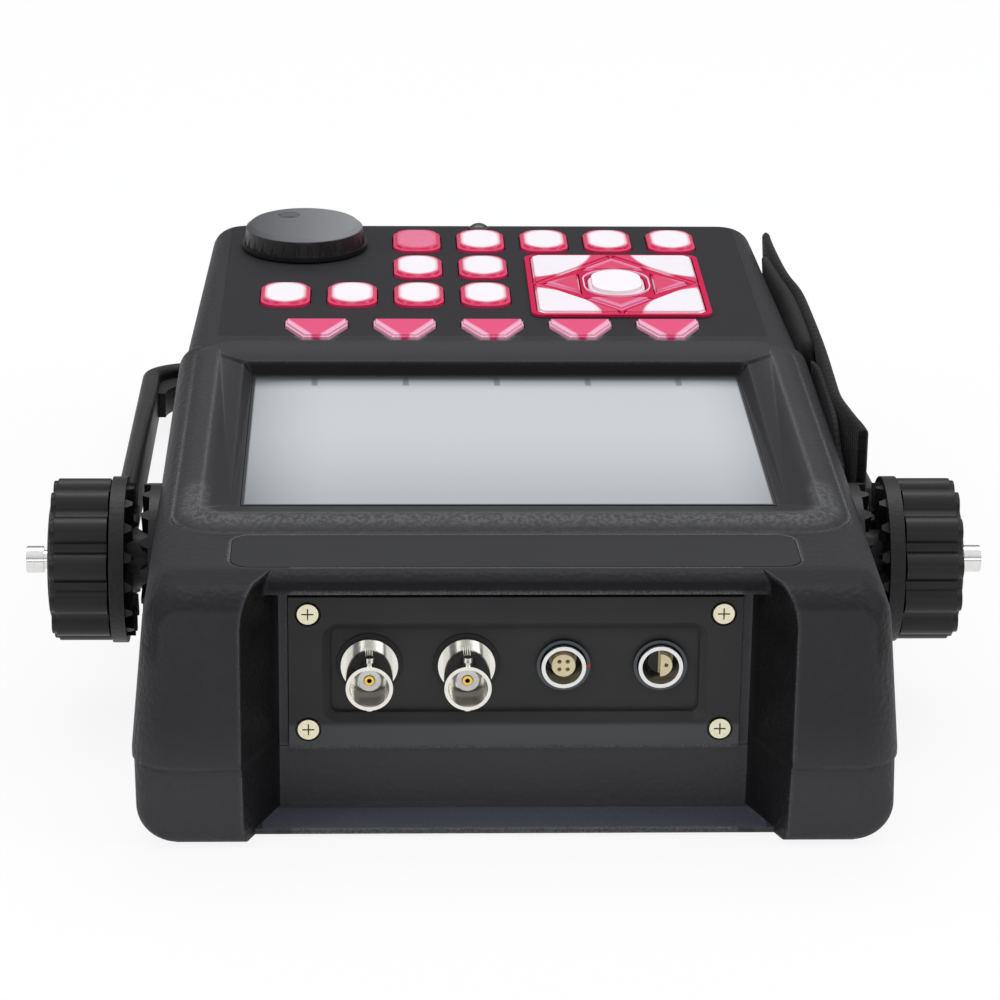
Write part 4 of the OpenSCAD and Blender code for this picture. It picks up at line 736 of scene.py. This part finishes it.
# the top is painted lighter, brightening from left to right, as a reflection of the lamps
reflection_sweep = (x - low.x) / (high.x - low.x)
lid_reflection = dial_skin.mixed(reflection_sweep, ink("#3c3d40"), ink("#88898d"))
on_lid = z.above(high.z - lid_depth, 0.5)
dial_skin.vary({"Base Color": dial_skin.mixed(on_lid, ink("#0c0c0d"), lid_reflection),
                "Roughness": 0.36 + spark * 0.08, "Normal": dial_skin.relief(spark, 0.02)})
cover(dial_skin, knob)
satin_knob = Finish("satin knob plastic", {"IOR": 1.5, "Specular IOR Level": 0.36})
spot = satin_knob.spot()
haze = satin_knob.cloud(spot, 9, 3)
satin_knob.vary({"Base Color": satin_knob.mixed(haze, ink("#09090a"), ink("#101011")),
                 "Roughness": 0.36 + haze * 0.10,
                 "Normal": satin_knob.relief(satin_knob.cloud(spot, 0.3, 3, 0.6), 0.02)})
for where in ("left", "right"):
    cover(satin_knob, moulding("clamp_knob_" + where, "clamp_" + where, radius=0.7),
          moulding("hub_" + where, "case", radius=0.2))
cover(mottled("ground steel", {"Metallic": 1}, ("#a2a2a2", "#c2c2c0"), patch=1.5,
              roughness=(0.24, 0.12), depth=0.008), "encoder_shaft", "strap_pins")
cover(mottled("smoked lamp dome", {"IOR": 1.5}, ("#2c2d30", "#36373a"), patch=1,
              roughness=(0.16, 0.08), depth=0.006, detail=2),
      moulding("status_lamp", "case", radius=0.2))

# The bail: one U-shaped bar of black reinforced plastic with toothed eyes. It is carry
# handle and stand in one, and here it lies back on the table with its clamp knobs loose.
bar = moulding("bail", "bail", radius=0.4)
bar_finish = Finish("textured bail plastic", {"IOR": 1.5, "Specular IOR Level": 0.36})
spot = bar_finish.spot()
haze = bar_finish.cloud(spot, 16, 3)
bar_finish.vary({"Base Color": bar_finish.mixed(haze, ink("#0c0c0d"), ink("#131314")),
                 "Roughness": 0.42 + haze * 0.12,
                 "Normal": bar_finish.relief(bar_finish.cells(spot, 0.8), 0.08)})
cover(bar_finish, bar)

# The hand strap: an upright band of black webbing with flared ends. A foam pad bound in
# cloth is sewn inside its middle, and each end is sewn to a loop round an upright steel pin
# in the side of the case. The near loop's spare length is turned back inside the band.
strap_middle, strap_lean = 35.2, math.tan(math.radians(4.92))


def smooth_line(stations, steps):
    """Stations of x, y, thickness, foot, top and lean, with steps on a smooth curve between."""
    last, line = len(stations) - 1, []
    for i in range(last):
        around = [stations[min(max(j, 0), last)] for j in range(i - 1, i + 3)]
        for k in range(steps):
            t = k / steps
            line.append([b + 0.5 * t * (c - a + t * (2 * a - 5 * b + 4 * c - d
                                                     + t * (3 * (b - c) + d - a)))
                         for a, b, c, d in zip(*around)])
    return line + [list(stations[-1])]


def ribbon(name, line, crown=0.0):
    """A soft band on edge along a line, round at its edges and crowned like a cushion."""
    arc, wall, thin_end, inner_crown, sharp = 6, 8, 0.55, -0.6, 50
    work, rings = bmesh.new(), []
    for i, (mid_x, mid_y, thick, foot, head, lean) in enumerate(line):
        ahead, behind = line[min(i + 1, len(line) - 1)], line[max(i - 1, 0)]
        out = Vector((ahead[1] - behind[1], behind[0] - ahead[0])).normalized()
        half = thick / 2 * (thin_end if i in (0, len(line) - 1) else 1)
        tall = head - foot - 2 * half
        turns = [math.pi * k / arc for k in range(arc + 1)]
        down = [k / wall for k in range(1, wall)]
        section = [(half * math.cos(a), head - half + half * math.sin(a)) for a in turns]
        section += [(-half, head - half - tall * share) for share in down]
        section += [(-half * math.cos(a), foot + half - half * math.sin(a)) for a in turns]
        section += [(half, foot + half + tall * share) for share in down]
        ring = []
        for across, up in section:
            bulge = 1 - ((up - foot) * 2 / (head - foot) - 1) ** 4
            swell = crown * bulge * (1 if across > 0 else inner_crown)
            place = Vector((mid_x, mid_y)) + out * (across + swell)
            ring.append(work.verts.new(at(
                place.x - (up - strap_middle) * strap_lean * lean, place.y, up)))
        rings.append(ring)
    for one, two in zip(rings, rings[1:]):
        skinned(work, one, two)
    work.faces.new(rings[0][::-1])
    work.faces.new(rings[-1])
    bmesh.ops.recalc_face_normals(work, faces=work.faces)
    return formed(name, work, "case", sharp)


def loop_round(x, y, start, end):
    """The stations of webbing that comes round a pin, from one angle to another."""
    loop_r, step, thick, foot, head = 3.1, 20, 1.9, 23.4, 47.0
    return [(x + loop_r * math.cos(math.radians(a)), y + loop_r * math.sin(math.radians(a)),
             thick, foot, head, 1) for a in range(start, end, step if end > start else -step)]


# the band's outer face, as x, y and how much of the strap's lean it has there
band_thick, band_foot, band_top = 2.2, 15.4, 55.2
band_face = [
    (83.1, 101.8, 0.0), (82.9, 107, 0.2), (82.5, 112, 0.45), (82.1, 118, 0.7),
    (81.7, 124, 0.9), (81.6, 130, 1), (81.9, 145, 1), (82.2, 160, 1), (82.25, 176, 1),
    (82.1, 195, 1), (81.8, 207, 1), (81.2, 214, 1), (80.1, 222, 1), (79.4, 231, 1),
    (78.7, 244, 0.9), (78.3, 254, 0.8), (78.2, 260.5, 0.7)]
band_line = smooth_line([(x - band_thick / 2, y, band_thick, band_foot, band_top, lean)
                         for x, y, lean in band_face], 6)
strap_band = ribbon("strap_band", band_line)
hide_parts("hand_strap")
# the stations of the pad and the loops: x, y, thickness, foot, top and share of the lean
strap_pad = ribbon("strap_pad", smooth_line([
    (79.2, 166.4, 1.2, 21, 50.0, 1), (78.6, 168.5, 2.4, 17.6, 53.6, 1),
    (78.35, 172, 2.9, 16.6, 54.6, 1), (78.3, 182, 3.1, 16.4, 54.8, 1),
    (78.2, 195, 3.1, 16.4, 54.8, 1), (78.0, 206, 3.0, 16.6, 54.6, 1),
    (77.6, 213, 2.8, 16.6, 54.6, 1), (76.7, 222, 2.6, 16.6, 54.6, 1),
    (76.0, 231, 2.4, 16.6, 54.6, 1), (75.5, 240, 2.0, 17.0, 54.2, 1),
    (75.3, 245, 1.0, 19, 53.0, 1)], 5), crown=0.12)
near_loop = ribbon("strap_loop_near", smooth_line(loop_round(74.92, 103, -320, -10) + [
    (78.02, 103.6, 1.8, 23.4, 47.0, 1), (78.2, 108, 1.6, 22.4, 48.4, 1),
    (78.45, 113, 1.3, 20.0, 52.4, 1), (78.7, 120, 1.2, 19.0, 53.6, 1),
    (78.9, 132, 1.2, 19.0, 53.8, 1), (79.0, 147, 1.2, 19.0, 53.8, 1),
    (78.7, 153, 1.2, 19.0, 53.6, 1), (78.05, 157.5, 1.1, 19.4, 53.2, 1)], 3))
far_loop = ribbon("strap_loop_far", smooth_line(loop_round(70.92, 248, 320, 10) + [
    (74.02, 247.2, 1.8, 23.4, 47.0, 1), (74.5, 242, 1.8, 23.4, 47.0, 1),
    (75.9, 234, 1.8, 23.4, 47.0, 1), (76.6, 226, 1.8, 23.4, 47.0, 1),
    (76.75, 219, 1.4, 23.6, 46.8, 1)], 3))

webbing = Finish("black webbing", {"Sheen Weight": 0.08, "Sheen Roughness": 0.4, "IOR": 1.4,
                                   "Specular IOR Level": 0.3})
spot = webbing.spot()
y, z = webbing.parts(spot)[1:]
thread, far_off = 0.85 * mm, 10  # metres, the second so that no count is negative
warp_count, weft_count = (y + far_off) / thread, (z + far_off) / thread
warp, weft = abs(warp_count % 2 - 1), abs(weft_count % 2 - 1)
over = abs((warp_count / 2 + weft_count / 2) % 2 - 1).above(0.5, 0.3)
cloth = warp * over + weft * (1 - over)
haze = webbing.cloud(spot, 14, 3)
fuzz = webbing.cloud(spot, 0.4, 3, 0.7)
shade = cloth * 0.45 + haze * 0.3 + fuzz * 0.25
webbing.vary({"Base Color": webbing.mixed(shade, ink("#080809"), ink("#1b1b1c")),
              "Roughness": 0.74 + haze * 0.12,
              "Normal": webbing.relief(cloth + fuzz * 0.4, 0.14)})
cover(webbing, strap_band, far_loop)
# the near loop is painted a lighter grey than the band, as highlights on its webbing
near_loop_highlight = Finish("grey tape", {"Sheen Weight": 0.05, "Sheen Roughness": 0.4, "IOR": 1.4,
                            "Specular IOR Level": 0.3})
spot = near_loop_highlight.spot()
y, z = near_loop_highlight.parts(spot)[1:]
twill_pitch = 1.3 * mm
twill = abs((y + z + far_off) / twill_pitch % 2 - 1)
fuzz = near_loop_highlight.cloud(spot, 0.4, 3, 0.7)
near_loop_highlight.vary({"Base Color": near_loop_highlight.mixed(twill * 0.5 + fuzz * 0.5, ink("#161617"), ink("#2a2a2c")),
           "Roughness": 0.74 + fuzz * 0.12, "Normal": near_loop_highlight.relief(twill + fuzz * 0.4, 0.12)})
cover(near_loop_highlight, near_loop)
lining = Finish("foam pad cloth", {"Sheen Weight": 0.04, "Sheen Roughness": 0.5, "IOR": 1.4})
spot = lining.spot()
knit = lining.cells(spot, 0.7)
haze = lining.cloud(spot, 9, 3)
lining.vary({"Base Color": lining.mixed(knit * 0.6 + haze * 0.4, ink("#0a0a0a"), ink("#171716")),
             "Roughness": 0.8 + haze * 0.1, "Normal": lining.relief(knit, 0.12)})
cover(lining, strap_pad)

# The strap's stitches: two rows of black thread through all layers, near the long edges.
# Each stitch is a short raised bar of thread whose ends go down into the webbing.
stitch_heights, stitch_step, thread_r, tall, turns = (18.6, 52.0), 2.6, 0.2, 1.3, 6
stitch_form = ((-0.9, 0.05), (-0.5, thread_r), (0.5, thread_r), (0.9, 0.05))
proud = 0.04
sewing = bmesh.new()
for height in stitch_heights:
    gone = 0.0
    for one, two in zip(band_line, band_line[1:]):
        gone += math.hypot(two[0] - one[0], two[1] - one[1])
        if gone < stitch_step:
            continue
        gone = 0.0
        out = Vector((two[1] - one[1], one[0] - two[0])).normalized()
        along = Vector((-out.y, out.x))
        heart = Vector((two[0], two[1])) + out * (two[2] / 2 + proud)
        lean = (height - strap_middle) * strap_lean * two[5]
        rings = []
        for share, fat in stitch_form:
            mid = heart + along * share
            rings.append([sewing.verts.new(at(
                mid.x - lean + out.x * fat * math.cos(a), mid.y + out.y * fat * math.cos(a),
                height + tall * fat * math.sin(a)))
                for a in [2 * math.pi * k / turns for k in range(turns)]])
        for lower, upper in zip(rings, rings[1:]):
            skinned(sewing, lower, upper)
        sewing.faces.new(rings[0][::-1])
        sewing.faces.new(rings[-1])
bmesh.ops.recalc_face_normals(sewing, faces=sewing.faces)
stitches = formed("strap_stitches", sewing, "case")
cover(mottled("black thread", {"IOR": 1.45}, ("#1d1d1e", "#39393a"), patch=0.25,
              roughness=(0.5, 0.1), depth=0.03, detail=2), stitches)

# The underside: a battery pack in the case's own grained plastic, which slides into the
# back shell, and black rubber feet pressed into seats.
cover(hide, moulding("battery_pack", "case", radius=0.6))
cover(mottled("black rubber", {"IOR": 1.5}, ("#141415", "#1e1e1f"), patch=0.9,
              roughness=(0.72, 0.12), depth=0.03), "rubber_feet")
